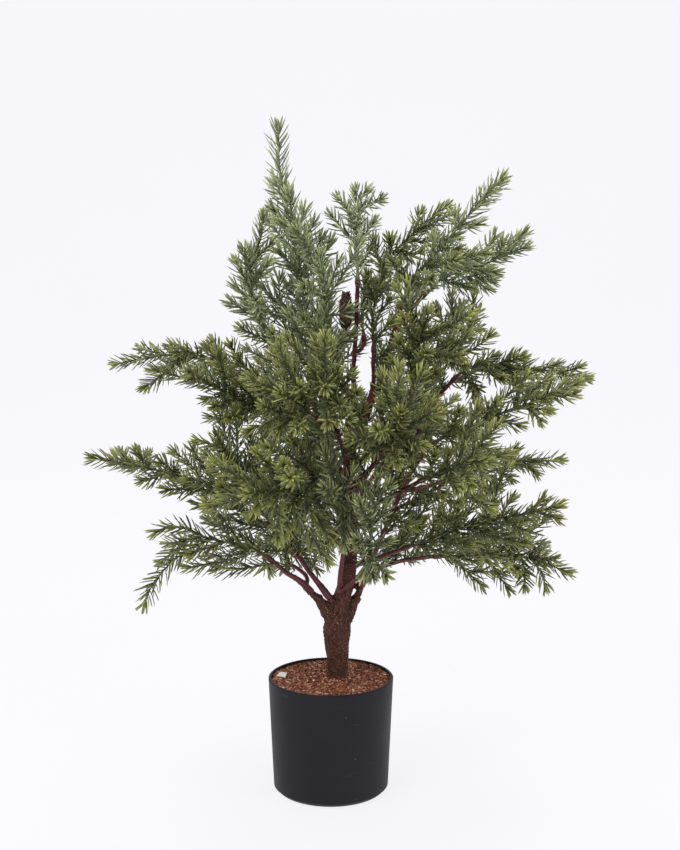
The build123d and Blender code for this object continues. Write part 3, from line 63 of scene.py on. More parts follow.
# Stems. The first line is the trunk knuckle that carries the stem, ending at the stem's root.
# The other lines are its wires, main wire first.
STEMS = {
    "leader_stem": """
14.8 -0.1 292, 8.97 -0.7 294.76, 7.88 -0.98 297.32
7.8 -1 297.5, -4.3 -4.1 325.8, -13.1 -7.2 349.9, -14.7 -7.9 359.7, -14.3 -8.5 376.6
""",
    "crown_stem": """
20.7 2.8 351.2, 21.03 2.89 356.8, 21 2.99 359.6
21 3 359.8, 20.7 4 386.9, 22.5 5.6 419.9, 24.2 9.3 462.8
21.9 4.6 403.5, 24.8 7.4 403.7, 26.7 9.5 404.6, 30.6 15.6 410
""",
    "upper_centre_stem": """
16.8 -0.7 317.1, 17.97 -8.74 320.44, 19.02 -8.98 323.02
19.1 -9 323.2, 27.8 -11 344.4, 36.9 -13 370.7, 38.3 -13.7 379.5, 37.8 -14.5 395.4,
38.4 -14.9 402.4
""",
    "upper_right_stem": """
17.3 0.8 316.8, 23.25 6.95 317.39, 24.23 7 320.01
24.3 7 320.2, 30.6 7.3 337.1, 36.6 7.1 355.2, 41.3 7.9 368.4, 48.4 9.8 389.2,
57.1 12.9 421.1, 64.4 15.3 443.9
55.6 12.5 416, 67.3 14.9 434.2, 82.6 18.4 451.9
""",
    "mid_right_stem": """
16.6 -0.8 295.9, 20.05 -5.04 297.05, 21.78 -5.94 299.06
21.9 -6 299.2, 40.4 -15.6 320.7, 52.6 -20.3 335.7, 58.7 -22.1 344.7, 64.5 -23.5 355,
68.8 -25.3 364.9, 72.3 -27.5 375.1
66.9 -24.3 359.9, 79.8 -15.6 380.6, 86.2 -11.8 392.4, 91.8 -9.1 403.8
""",
    "right_upper_stem": """
16.7 1 279.4, 20.36 7.78 281.11, 22.36 7.99 283.06
22.5 8 283.2, 40.3 9.8 300.6, 56.3 10.5 317.1, 79.4 10.3 342, 109.8 9.6 376.4
""",
    "right_mid_stem": """
23.4 2.3 177.4, 26.95 -3.51 187.43, 27.93 -3.97 190.02
28 -4 190.2, 44.1 -11.6 232.7, 53.7 -15.4 255.4, 64.6 -21 285, 74.3 -24.8 303.3,
85.8 -29.6 321.5
""",
    "right_front_stem": """
17.5 -1.3 250.6, 17.72 -7.87 250.99, 19.1 -9.86 252.4
19.2 -10 252.5, 32 -28.5 265.6, 46.4 -46.9 277.2, 61.1 -61.3 287.5, 76.1 -73.3 298.3
61.2 -61.5 287.6, 71.3 -57 288.4, 77 -53.1 288.7, 87.1 -43.4 289.5, 98.4 -29.3 290.3
""",
    "right_low_front_stem": """
16.7 -1.6 209.3, 17.76 -12.35 211.11, 19.94 -13.89 211.94
20.1 -14 212, 31.9 -22.3 216.5, 38.6 -25.8 219.5, 49.8 -29.8 224.8, 63.3 -33.1 230.9
""",
    "right_low_stem": """
15.5 0.4 190.4, 26.64 2.75 189.11, 28.47 3.92 190.87
28.6 4 191, 37.1 9.4 199.2, 43.6 12.3 202.8, 50.9 14.7 205.2, 60.4 16.8 207.6,
70.2 18.4 209.3, 93.9 21.3 211.9
""",
    "left_upper_stem": """
16.1 0.3 229.8, 3.05 3.39 231.16, 2.07 3.96 233.72
2 4 233.9, -4 7.5 249.5, -15 11.6 268.2, -23.8 14.5 285.9, -31.1 17.2 306.6,
-41.7 20.9 347.2, -46.8 21.7 358, -53.9 22.3 369
""",
    "left_mid_stem": """
1.2 -0.9 176.4, 0.2 -7.75 178.51, -1.48 -7.98 180.74
-1.6 -8 180.9, -11.8 -9.4 194.4, -18.9 -8.9 204, -37.9 -4.9 229.3, -45.3 -3.3 237.1,
-53.4 -1.5 244.3
""",
    "left_low_stem": """
-12.2 -6.8 179.9, -16.34 -8.59 183.96, -17.8 -9.91 185.96
-17.9 -10 186.1, -24.1 -15.6 194.6, -27.8 -18.5 198.3, -38.8 -25.4 207.4, -51.9 -32.1 220.7
-21.9 -13.5 191.7, -21.5 -5.4 197.4, -24.1 0.2 200.5, -31.6 8.7 204.3, -40.7 16 207
""",
    "front_left_stem": """
15.2 -0.8 281.3, 6.92 -9.48 282.71, 5.78 -11.83 283.73
5.7 -12 283.8, 0 -23.8 288.9, -7.3 -40.7 293.9
""",
    "front_low_stem": """
10.1 -2 180.7, 6.67 -11.68 183.7, 7.57 -13.38 186.19
7.9 -14 187.1, 9.2 -21.2 208.9, 11.1 -28.5 226.3
7.9 -14 187.1, 18 -28.7 198.3, 27 -45.9 212.5, 29.9 -51.3 217.7, 33.5 -58.3 226.7
""",
    "upper_front_stem": """
16 -1 304.4, 14.39 -11.98 307.36, 13.84 -13.87 309.36
13.8 -14 309.5, 5.1 -43.6 340.8, 3 -51.9 350.6, 0.8 -64 366.3
6.4 -38.8 335.4, -5.4 -53.8 344, -20.2 -73.5 357.1
""",
    "front_right_stem": """
16.7 -1.1 275.2, 20.75 -11.99 276.73, 21.73 -13.87 278.57
21.8 -14 278.7, 49.2 -66.2 329.9
""",
    "back_left_stem": """
15.7 1.1 279.5, 12.23 9.58 282.13, 11.18 11.84 283.41
11.1 12 283.5, 0.6 34.5 296.3, -6.5 47.5 304.4, -17.9 66 316.7, -30.3 84 328.6
""",
    "back_right_stem": """
17.8 1.2 252.7, 20.07 9 253.87, 21.12 10.87 255.67
21.2 11 255.8, 31.7 29.6 273.8, 40.8 42.8 285.7, 57.1 62.7 302.8, 78.2 84 320.8
""",
    "back_top_stem": """
18.2 1.8 329.5, 21.45 9.69 331.4, 21.22 11.85 333.17
21.2 12 333.3, 19.5 27.4 346, 17.5 35.9 354.1, 13.5 46.9 366.4, 8.4 58 381
""",
    "back_low_stem": """
16.8 1.2 236.2, 12.5 9.19 237.82, 12.13 11.81 238.73
12.1 12 238.8, 8.9 34.6 246.7, 4.9 59.5 256.6, 0.6 82 264.2
""",
}

# Where each spray joins its stem: spray, stem, joint foot on the wire, mouth of the spray,
# direction of both, and how far the joint reaches past its foot.
JOINTS = """
leader_top, leader_stem, -14.3 -8.5 376.6, -14.3 -8.5 377.1, 0.0479 -0.0040 0.9988, 0.8
leader_front, leader_stem, -14.7 -7.8 359.1, -13.2 -13 366.2, 0.1657 -0.5798 0.7978, 9.2
leader_left, leader_stem, -14.9 -8.1 365.2, -19.2 -9.4 370.6, -0.6117 -0.1819 0.7699, 7.2
crown_top, crown_stem, 24.2 9.3 462.8, 24.2 9.4 463.3, -0.0050 0.1354 0.9908, 0.8
crown_side, crown_stem, 30.6 15.6 410, 30.4 16 412.1, -0.1000 0.1999 0.9747, 2.4
upper_centre_spray, upper_centre_stem, 38.4 -14.9 402.4, 38.4 -14.4 403.7, -0.0159 0.3493 0.9369, 1.6
right_top, upper_right_stem, 64.4 15.3 443.9, 64.8 14.4 445.3, 0.2382 -0.5207 0.8198, 2
right_high, upper_right_stem, 82.6 18.4 451.9, 83.1 18.6 452.4, 0.7106 0.2703 0.6496, 1
mid_right_front, mid_right_stem, 72.3 -27.5 375.1, 72.1 -28.8 376.6, -0.1058 -0.6572 0.7463, 2.2
mid_right_back, mid_right_stem, 91.8 -9.1 403.8, 92.9 -7.7 404.6, 0.5732 0.7179 0.3951, 2.2
right_upper_spray, right_upper_stem, 109.8 9.6 376.4, 110.2 9.6 376.8, 0.7259 -0.0461 0.6863, 0.8
right_mid_spray, right_mid_stem, 85.8 -29.6 321.5, 86.8 -30 322.2, 0.7767 -0.3212 0.5418, 1.6
right_front_spray, right_front_stem, 76.1 -73.3 298.3, 76.6 -74 298.6, 0.5700 -0.7372 0.3628, 1.2
right_side_spray, right_front_stem, 98.4 -29.3 290.3, 99.6 -28.7 290.5, 0.8781 0.4450 0.1756, 1.6
right_low_front_spray, right_low_front_stem, 63.3 -33.1 230.9, 63.8 -33.3 231.1, 0.8871 -0.2945 0.3555, 0.8
right_low_spray, right_low_stem, 93.9 21.3 211.9, 95.2 20.9 212, 0.9639 -0.2617 0.0499, 1.6
left_upper_tip, left_upper_stem, -53.9 22.3 369, -54.8 22.4 369.7, -0.7736 0.0779 0.6289, 1.4
left_upper_side, left_upper_stem, -47.2 21.7 358.7, -49.3 19.8 357.8, -0.6958 -0.6490 -0.3078, 3.2
left_mid_tip, left_mid_stem, -53.4 -1.5 244.3, -54.4 -1.6 244.8, -0.8849 -0.0737 0.4598, 1.4
left_mid_side, left_mid_stem, -45.7 -3 237.4, -48 -6.7 241.5, -0.3808 -0.6151 0.6904, 6.2
left_low_tip, left_low_stem, -51.9 -32.1 220.7, -52.9 -32.2 221.3, -0.8487 -0.1220 0.5145, 1.4
left_low_inner, left_low_stem, -40.7 16 207, -40.8 17.5 208.5, -0.0620 0.7135 0.6979, 2.4
front_left_spray, front_left_stem, -7.3 -40.7 293.9, -7.9 -41.7 293.9, -0.5322 -0.8464 0.0200, 1.4
front_low_spray, front_low_stem, 11.1 -28.5 226.3, 11.1 -29.1 227.1, 0.0484 -0.6029 0.7964, 1.2
front_low_right_spray, front_low_stem, 33.5 -58.3 226.7, 33.5 -58.8 227.7, 0.0372 -0.4304 0.9019, 1.4
upper_front_centre, upper_front_stem, 0.8 -64 366.3, 0.7 -65.4 366.9, -0.0731 -0.9239 0.3755, 1.8
upper_front_left, upper_front_stem, -20.2 -73.5 357.1, -20.3 -74.9 357.7, -0.0416 -0.9180 0.3943, 1.8
front_right_spray, front_right_stem, 49.2 -66.2 329.9, 49.3 -67.4 330.5, 0.1098 -0.9001 0.4216, 1.6
back_left_spray, back_left_stem, -30.3 84 328.6, -30.9 85 328.9, -0.4799 0.8488 0.2219, 1.4
back_right_spray, back_right_stem, 78.2 84 320.8, 78.9 85.1 321.1, 0.5033 0.8334 0.2282, 1.6
back_top_spray, back_top_stem, 8.4 58 381, 8.3 58.3 381.4, -0.2061 0.5993 0.7736, 0.8
back_low_spray, back_low_stem, 0.6 82 264.2, 0.4 82.7 264.3, -0.2182 0.9650 0.1455, 1
"""

# Ribs of each spray, main rib first. The main rib is led in from the spray's mouth.
RIBS = {
    "leader_top": """
-13.8 -8.5 386.1, -13.1 -8.6 401.6, -13.9 -8.7 413.5, -24 -9.6 451.1, -29.4 -11.2 489.7,
-41.3 -15.1 546.3, -44.4 -17.2 570, -44.9 -19.3 590.9
-33.8 -12.7 510.9, -46.7 -12.2 524.5
-30.5 -11.6 495.1, -26.5 -5.5 512.2, -24.6 -3.7 521.6
-28.1 -10.8 480.3, -17.7 13.1 512.8
-26 -10.2 465.5, -10.7 20.4 499.5
-24 -9.6 451.4, -3.6 25.3 496.5
-26.7 -10.4 470.6, -41.1 -33.6 488.3
-13.5 -8.6 393, -33.3 -1.7 413.8, -39.8 1.3 423.3, -42.8 3.5 431.4, -45.5 6.9 444.7,
-46.2 11.8 463.9
""",
    "leader_front": """
-11.7 -18.2 373.4, -10.9 -21.1 377.4, -9.3 -27 389.9, -6.8 -33.9 413.7, -2.3 -39.6 442.7,
-2 -41.9 455.5, -6.9 -44.6 470.3, -27.7 -52.5 509.3, -32 -55.2 523.4, -33.8 -57.3 535
-16.1 -48.1 487.5, -21.5 -72 498.6, -25.8 -82.2 505.3
-3.1 -42.5 458.7, 4.9 -35.9 477.5
-3.2 -38.5 437.1, 8.2 -44.5 438.2, 13.1 -47 440.5
-7.4 -32.3 408, 6.6 -40.2 412.8, 15.1 -44 418.3
-2.1 -41.2 451.6, -11.8 -66.8 457.3, -18.8 -86.6 460.6
-5.8 -35.1 419.9, -12.7 -60 427.5, -19.7 -76.4 433.5
-25.8 -51.8 505.8, -33.8 -60.2 510.4, -38.1 -63.4 513.2
""",
    "leader_left": """
-24.7 -11 377.5, -38.1 -15 394.4, -48.1 -18.7 410, -58.9 -23.4 432, -67.6 -28.3 455.9,
-69.1 -30.6 468.5, -67.9 -32.6 479.3, -59.3 -37.6 506.4, -57.9 -39.3 516
-66.9 -33.2 482.6, -54.1 -27 496
-68.6 -31.4 472.7, -71.9 -51.4 489.8
-67.7 -28.4 456.6, -78 -32.4 477.4
-68.2 -29.2 460.9, -53.3 -66.4 479.2
-62.8 -25.6 442.8, -79.5 -21.6 458.6
-58.9 -23.4 432.1, -81.8 -39.4 446.2
-58.9 -23.4 432.1, -59.9 -87.3 449.7
-48 -18.7 409.9, -62.3 -38.2 418.8, -71.7 -53.5 424.5
-38.4 -15.1 394.9, -41.2 -43.9 410.3, -46.4 -71.5 420.8
""",
    "crown_top": """
24.2 10.6 472.3, 24 14.7 502.3, 23.4 16.3 538.1, 22.9 16.3 541.1
23.4 16.2 535.9, 29.3 9.4 543.1
23.6 15.9 528.4, 33.3 -2.4 533.6, 40.7 -17.3 536.3
24 14 497.1, 31 22.2 508.5, 36.8 29.3 516
23.8 15.2 513.9, 15.7 3.8 528, 10.4 -2.6 534.9
24 14 497.1, 16.1 12.6 506, 11.6 14 511.1, 5.3 18.4 518.9, 3.4 20.7 521.5
23.9 14.8 505.5, 20.1 39 520.8, 16.9 49.9 530.8
23.9 15 509.9, 22.9 -9.5 519.7, 24.4 -25.6 525.6
""",
    "crown_side": """
29.5 17.8 420.9, 28.2 20.4 433.4, 31.9 28.7 464.1
28.7 19.4 428.6, 15.4 44.8 440.6
28.8 21.7 438.4, 35.2 25.3 450.4, 38.5 23.8 457.5
""",
    "upper_centre_spray": """
38.2 -11.3 412.1, 37.8 -1.7 437.8, 51.6 13.9 484.1, 58.4 17.2 493.3, 85.4 26.6 518.2,
100.7 31 530.2
47.8 9.7 471.5, 42.8 23.1 488.2, 40.8 29 498.3
51.9 14 484.5, 53 12.8 490.4, 53.5 9.7 494.3, 53.2 1.3 499.8, 52.9 -2.5 501.3
58.1 17.1 492.9, 69 -17.2 489.2, 72.1 -23.5 489.3, 74.8 -27.5 490.4
73.7 22.5 507.4, 80.5 38.2 524.6
40.6 1.5 447.3, 36.3 -7.3 455.5, 34.1 -14.5 460.3, 32.2 -32.2 468.8
38 -6.4 425.2, 44.7 -7.5 440.1, 48.4 -8.2 444.9
38.2 -11.5 411.6, 50.3 -24.8 428.4
""",
    "right_top": """
67 9.7 452.7, 68.7 5.9 458.7, 74.9 -1.8 471.3, 89 -11.6 486.7, 99.3 -17.4 498.9,
111.8 -22.6 513.7, 124.7 -25.7 528.8, 136.2 -26.6 542.6, 144.2 -26.1 550.2
111.8 -22.6 513.7, 120.4 -25.4 513.9, 123.3 -26.1 514.6
108.6 -21.3 509.9, 110.8 0.3 522.8
94 -14.4 492.6, 106.3 -43.7 493.6
79.8 -5.2 476.7, 91.8 -28 479.4, 102.9 -50.1 483.5
71.7 3.3 465.7, 62.3 -17.3 473.2, 56.2 -35 479.7
86.8 -10.1 484.4, 91 0.8 494.7, 92.2 9.7 501.2
70.2 5.8 462.3, 76.6 -22.4 463.3, 83.7 -55.3 467.1
""",
    "right_high": """
89.5 21 458.2, 98.9 24.6 466.8, 111.9 28.7 475.1, 119.1 30.6 477.8, 141 36 482,
153.5 39.1 487.4, 174.3 45 506.4
132.9 34 480.4, 150.5 56.5 504.9
147.5 37.6 484.8, 152.4 26.5 492.9, 153.9 20.7 497.9
125.4 32.2 479, 141 28.9 475.2, 145.9 27.8 474.8
118.7 30.5 477.7, 134.2 35 469.9, 143.5 37.6 467.7
111.5 28.6 474.9, 142.1 52.7 460.9
99.5 24.8 467.2, 109.8 3.2 464.3, 117.4 -9.4 462.4
99.5 24.8 467.2, 110.8 58.4 485.5
154 39.2 487.8, 172.3 28.4 495.3
""",
    "mid_right_front": """
71.1 -34.7 383.3, 70.4 -39.3 388.5, 71.3 -50.6 401, 80.6 -86 437.6
71 -46.4 396.3, 61.1 -55.8 411.6
74.2 -61.6 412.4, 65.9 -83 424.7, 62.1 -96.4 432.5
74.2 -61.6 412.4, 86.6 -67 422
70.4 -39 388.2, 75.1 -66.1 396.6, 78.7 -100.2 407
71.2 -34.4 382.9, 58.8 -42.1 393.4
71.2 -34.4 382.9, 79.6 -56.6 385, 86.1 -75.8 389.5
""",
    "mid_right_back": """
98.1 -1.2 408.1, 102.1 3.8 410.9, 106.6 11.4 417.3, 110.7 24.9 432.7, 111.5 35.7 449.3
97.8 -1.6 407.9, 108.8 -8.7 405.8, 113.4 -8.3 407.9, 117.7 -7.7 412, 121.7 -6.7 418.9,
125.5 -4.6 431.2, 126.7 -0.4 449.8
97.8 -1.6 407.9, 111.1 -13.2 405.7, 121.7 -20.5 405.7, 128.6 -24.3 409.8, 135.2 -26.3 415.5
97.8 -1.6 407.9, 105.8 -19.6 399.4, 112.5 -34.9 395.4
107.6 14.5 420.9, 101.6 31.7 431, 99.3 40.1 437.5
103.4 -8.3 404.7, 104.1 -12.9 399.6, 104.5 -19.5 397.5, 105 -24.4 397, 106.8 -36.1 398.6
""",
    "right_upper_spray": """
116.7 9.2 383, 124.5 8.7 388.1, 136.1 7.9 391.1, 147.1 7 392, 159 5.9 391.5,
182.5 3.2 387.3, 209.2 -0.6 385.3, 223.6 -3.2 381.7
151.5 6.6 391.8, 161.1 -0.9 395.7, 166.9 -9.6 398.3
151.5 6.6 391.8, 162.4 13 397.1
186.6 2.6 387, 200.2 9.7 390
159.1 5.9 391.5, 165.2 -17.3 379.9
132.8 8.1 390.3, 139.4 18.6 393.8, 144.9 23.3 396.5
136 7.9 391.1, 142.1 -12.5 385, 146.8 -23.5 382.9
200.6 0.6 385.9, 212.1 9.7 380.4, 216.5 14.4 376.2
120.2 9 385.2, 124 -4.7 378.7, 127.4 -23.7 374
209.2 -0.6 385.3, 216.4 -9.4 389
""",
    "right_mid_spray": """
93.8 -32.9 327.1, 102 -36.3 332.8, 123.1 -43.6 341.4, 152.1 -53.2 356.1, 170.9 -58.7 363.4,
190.6 -64.3 373.8, 203.2 -67.4 378.9
140.1 -49.2 350, 152.6 -48.9 345.2, 158.3 -48.5 344
167.5 -57.7 362.1, 171.6 -67.2 355.6, 173.8 -74.2 352.9
164 -56.7 360.7, 175.8 -56.6 358.3, 181.5 -55.3 357.6
184 -62.4 370.3, 194 -72.1 370.1, 199.3 -77.6 371.4
120.1 -42.6 340.2, 125.7 -34.5 353.4
131.5 -46.4 345.7, 133.8 -63.8 355.9, 136.9 -78.6 363.1
101.6 -36.1 332.5, 109.6 -28.5 323.8, 114.9 -24.7 321.2
105.3 -37.5 334.2, 105 -66.2 347.8, 106.7 -75.9 354.4
156.6 -54.5 357.9, 160.2 -48.6 365.1, 161.1 -47.7 366.7
""",
    "right_front_spray": """
81.8 -80.6 301.9, 110.2 -117.4 320, 117.6 -126.3 322.7, 121.6 -130.8 323
87.2 -87.7 305.4, 84.2 -99.1 314.3, 84.6 -113.5 322.9
102.8 -107.8 315.3, 107.8 -105.8 324.1
107.5 -113.9 318.3, 110.1 -141.5 309
96.1 -99.1 311, 100.9 -120 301.7
92.1 -94 308.5, 97.2 -93.3 316.6, 97.7 -93 319.4
81.5 -80.3 301.7, 91.8 -91.2 292.7
114.7 -122.8 321.6, 121.9 -116.2 312.3
81.5 -80.3 301.7, 70.2 -88.1 308.7, 68.6 -90.1 311.7
""",
    "right_side_spray": """
107.5 -24.7 292.1, 157.4 0.6 302.1, 206.2 21.6 302
154.6 -0.8 301.5, 162.8 -3.8 311.5
176.7 8.9 302.1, 182.4 4.5 296.6
145.9 -5.2 299.8, 161.1 8.8 289.3
122.1 -17.3 295, 135.5 13.2 279.6, 146.4 34.4 271.8
131.9 -12.3 297, 147.4 35.5 302.9
110.4 -23.2 292.7, 117.4 -15.8 285.5, 121.1 -14.6 282.4, 127.4 -17 278.3
""",
    "right_low_front_spray": """
71.8 -35.9 234.3, 88 -41.3 240.8, 118.9 -52.5 255.2, 144.7 -62.1 264, 170.8 -72.4 270.7,
188 -79.7 277.4
168.9 -71.7 270.2, 178.2 -70.6 278.3
176.8 -75 273.1, 186.3 -88.6 270.4
146.9 -63 264.6, 151.5 -55.2 272.3, 154.7 -51.5 275.7
108.1 -48.6 250.2, 115 -34.3 256.7, 118.6 -29.5 260.4, 122.3 -26.7 264.3, 125.5 -25.8 268,
127.8 -26.9 271
130.3 -56.7 259.1, 135.1 -81.1 279
146.9 -63 264.6, 161.8 -92.1 260
88 -41.3 240.8, 89.7 -54.5 256.1, 93.1 -64.8 268
108.1 -48.6 250.2, 108.8 -67.7 264.9, 108.5 -85.2 276.4
119.6 -52.8 255.4, 139.6 -36.6 247.6, 157.2 -19.1 240.1
71.3 -35.8 234.1, 79.6 -30.8 250.7
94.3 -43.6 243.8, 117.1 -63.9 241.8
""",
    "right_low_spray": """
103.9 18.6 212.4, 117.1 15 213.1, 147.4 5.4 217.9, 163.4 -0.4 218.9, 183.7 -8.6 216.4,
207.3 -19.8 209
112.2 16.3 212.8, 138.4 30.7 184.7
131.1 10.6 215.3, 142.2 10 210.9, 146.6 9.8 207.7, 160.1 8.6 189.1
173.4 -4.4 217.7, 173.1 -26 209.1, 170.8 -41.6 203
183.2 -8.4 216.5, 190.9 -9 203.1, 193.3 -9.7 196.4
178.5 -6.5 217, 194.3 -34.2 222.1
157.4 1.8 218.5, 177.6 15.1 223, 192.9 24.9 223.1
136.1 9 216.1, 157.6 31.1 217.9, 176.2 49.5 217.6
121.8 13.5 213.8, 134.8 36.3 214.8, 147.7 56.5 214.8
103.4 18.7 212.4, 109.4 37.7 218.1, 116 52.2 221.2
178.5 -6.5 217, 186.4 1.4 222.5, 190.9 4.9 221.8
152 3.7 218.2, 161.1 -22.1 219, 162.9 -40.6 217.1
""",
    "left_upper_tip": """
-61.8 23.1 375.4, -67.8 23.7 380.3, -78.7 24.7 387.2, -89.8 25.6 391.7, -107.3 26.9 395.4,
-130.1 28.6 397.7, -155 30.5 398.2, -193.2 33.3 391.2
-135.2 29 397.8, -143.3 19.5 389.5, -162.4 1.4 374.8
-116.7 27.6 396.4, -126.9 6.9 402.7, -134 -6.1 403.7
-97.9 26.2 393.4, -108.2 45.4 407.6
-82.4 25 388.7, -88.5 13.1 405
-130.5 28.6 397.7, -139.5 43.1 403.9, -147.8 53.2 405.5
-155 30.5 398.2, -167.7 43.1 401.8, -174.1 49.6 402.4
""",
    "left_upper_side": """
-55.5 13.9 355, -68 2.9 355.7, -84.2 -11.7 363.1, -103.9 -31.2 376.8, -117.4 -43.3 382.8
-90.7 -18.2 367.7, -103.7 -24.1 364.4
-110.1 -36.8 379.6, -116.7 -65.7 389.2
-71.9 -0.6 357.5, -98.2 12.8 342.1, -105.4 16.2 342
-84 -11.5 363, -91.2 -35 360.2, -96.8 -52 360
-68.1 2.8 355.8, -73.7 -10.1 367.3, -78.4 -17.5 372.3
-68.1 2.8 355.8, -75.9 -24.6 351.4, -83.7 -56.4 351
-96.4 -23.8 371.6, -103.8 -9.2 379.5, -107.5 -4.7 383.3, -109.6 -3.3 384.9
""",
    "left_mid_tip": """
-62.4 -2.2 249, -73.8 -3.2 254.9, -122.6 -7.6 284.3, -139.5 -9.1 293, -202.5 -14.8 308.3,
-206.4 -15.1 308.6
-114.7 -6.9 279.5, -124 8.5 295.5, -140.7 24.5 307.3
-147.6 -9.8 295, -159.7 0.1 289.4, -167.9 6.6 286.6
-114.7 -6.9 279.5, -129.5 -25.4 283.2, -138.9 -40.5 285.6
-92.7 -4.9 266.3, -116.2 -1.4 264.9
-161.5 -11.1 298.4, -167.9 -29.4 314
-182 -12.9 303.3, -189.8 2.5 308.7
-136.7 -8.8 291.5, -142.3 -28.1 303, -146.3 -38.3 308
-161.5 -11.1 298.4, -167.3 6.8 302.8, -168.3 15.4 305.2
""",
    "left_mid_side": """
-51.4 -12.2 247.7, -54.8 -17.7 253.9, -65.9 -28.9 270.5, -75.2 -34.8 287.1,
-86.5 -42.7 314.7, -90.8 -44.6 319.9, -96.3 -46.4 323.8, -108.9 -50.3 328.2
-80.6 -38.6 300.2, -88.4 -52.9 316.1, -94 -68 332.2
-75.4 -34.9 287.5, -98.9 -31.3 297.5
-78.9 -37.4 296, -72.4 -10 309.6, -72.3 6 317.8, -73.4 14.9 322.4
-70.8 -32 279.2, -83.2 -56.6 285.2, -89.6 -72.1 291.2
-70.8 -32 279.2, -64.2 5.4 284.9, -60.2 30 291.7
-83.8 -40.8 308, -107.2 -16.5 312.2
-78.9 -37.4 296, -85.2 -62.2 306.3, -88.5 -81.9 315.1
""",
    "left_low_tip": """
-60.5 -33.3 225.9, -67.9 -34.4 230.4, -84.8 -36.3 236.2, -108.9 -38.2 242.2,
-125 -39.2 249.9, -133.8 -39.5 251.5, -143.8 -39.8 251.5, -149.2 -39.9 249.2
-84.9 -36.3 236.2, -95.2 -17 244.1, -109.9 5.6 248
-105.3 -37.9 241.3, -122.8 -49.5 234.3, -135.8 -58.8 226.2, -149.4 -71 212.2,
-154.1 -76.9 204.2, -156.4 -81.2 197.9
-111.7 -38.4 243.5, -122.1 -29.8 238.8, -141.8 -15.1 232.8
-70.5 -34.7 231.3, -78.9 -39.6 226.4, -89.3 -44.7 223.3, -118.1 -58.2 221
-60.1 -33.3 225.7, -66.4 -33 233.5, -69.5 -29.9 236, -75.5 -21 238.5, -77.9 -16.4 238.8
-92 -36.9 238, -115.8 -59.7 234.1
-60.1 -33.3 225.7, -56.2 -31.4 215.7
""",
    "left_low_inner": """
-41.4 24 214.8, -39.7 33.7 224.2, -35.7 42.2 231.8, -28.2 53.8 241.5
-41.4 23.6 214.4, -20.5 33.3 230.8, -18.2 35.3 234.7, -17.6 36.5 237.4
-41.4 23.6 214.4, -49.8 27.2 226.7, -53.5 28.6 234.6
-41.4 23.6 214.4, -54.2 42 215.3, -65.6 58.6 217.1
-39.8 33.3 223.8, -45.2 56.7 233.8, -47.4 75.9 242.4
-41.4 23.6 214.4, -30.5 21 215.1, -24.8 20.6 217.5
""",
    "front_left_spray": """
-12.7 -49.3 294.1, -36.6 -87.3 295, -62.6 -132.2 298.3
-12.4 -48.9 294.1, -18.8 -68.2 308.1, -30.4 -99.2 322, -46.5 -141.2 335.4
-16.8 -55.9 294.3, -32.3 -95.9 281.6
-32.9 -81.5 294.9, -35.8 -141.7 320.8
-46.5 -104.4 296.2, -56.7 -106.8 302.5, -62.2 -108.1 304.1
-55.8 -120.4 297.4, -57.7 -124.3 289.2
-36.5 -87.1 295, -45.4 -95.1 285.7
-12.4 -48.9 294.1, -24.3 -60.7 301.3, -32.6 -68.3 305.1
-23 -65.6 294.5, -26.7 -116.7 306.9, -30.2 -157.9 314.4
""",
    "front_low_spray": """
11.6 -34.5 234.2, 12.4 -44.7 247.7, 11.5 -70.2 283.4, 13 -75.9 291.4, 17.4 -84.6 304
11.6 -67.2 279.2, 4.2 -88.7 290.2, -2.5 -107.6 296.8
12 -57.3 265.4, 3.6 -58.8 275.2
12.1 -53.2 259.6, 20.9 -96.2 283.3
12.3 -48.5 253.1, 4.6 -56.8 259.3, 1.6 -60.5 262.9
12.1 -53.2 259.6, 19.5 -61.4 263.5, 21.4 -64.1 265.7
""",
    "front_low_right_spray": """
33.9 -62.7 235.9, 35.4 -80.3 272.8, 38.8 -92.9 299.9
33.9 -62.5 235.4, 39 -87.5 230.1, 44.6 -109.4 227.1
34.8 -73.4 258.3, 39.6 -76 264.5, 42.8 -75.9 268.4, 45.9 -73.1 272.7
34.8 -73.4 258.3, 25.9 -114.4 283.5
35.4 -80.1 272.4, 29.8 -80 284.1, 29 -80 288
35.9 -82.2 276.8, 47.1 -105.4 296.7
34 -64.5 239.7, 23.5 -95.9 251
34 -64.5 239.7, 44.5 -68.7 243.7
33.9 -62.5 235.4, 35.1 -87.5 222.7
""",
    "upper_front_centre": """
0 -73.7 370.3, -1.4 -91.8 377.6, -4.4 -109.6 383.6, -5 -120.4 385, -3.3 -131.2 383.7
0.1 -73.3 370.1, 10.3 -137.1 366.8
-0.6 -82 373.6, 5 -103.3 391.1
-1.4 -91.3 377.4, -8.9 -109.6 387.5, -11.8 -118.7 393.2
0.1 -73.3 370.1, 14 -99.3 371.4, 20.3 -119.7 376.6
0.1 -73.3 370.1, 10.7 -81.9 378.9, 15.5 -93.2 387.6
0.1 -73.3 370.1, -0.8 -141.1 357.1
""",
    "upper_front_left": """
-20.6 -83.2 361.3, -22.7 -129.4 381.1
-21.1 -92.7 365.4, -29.5 -114.5 371.8, -36 -128.4 376.8
-21.1 -92.7 365.4, -54.3 -101.3 378.8
-20.6 -82.7 361.1, -45 -82.2 352.1, -63.3 -89 345
-21.1 -92.7 365.4, -21.7 -112.1 357.7, -24.4 -136.5 352.4
-20.6 -82.7 361.1, -34.3 -91.3 352.3, -40.8 -102.6 346.8
-21.1 -92.7 365.4, -16.6 -94.2 378.8, -16.5 -94.9 383.6
-31.5 -119.4 373.3, -36.4 -118 385.8
-35.6 -78.8 354.5, -50.7 -115.9 365.2
""",
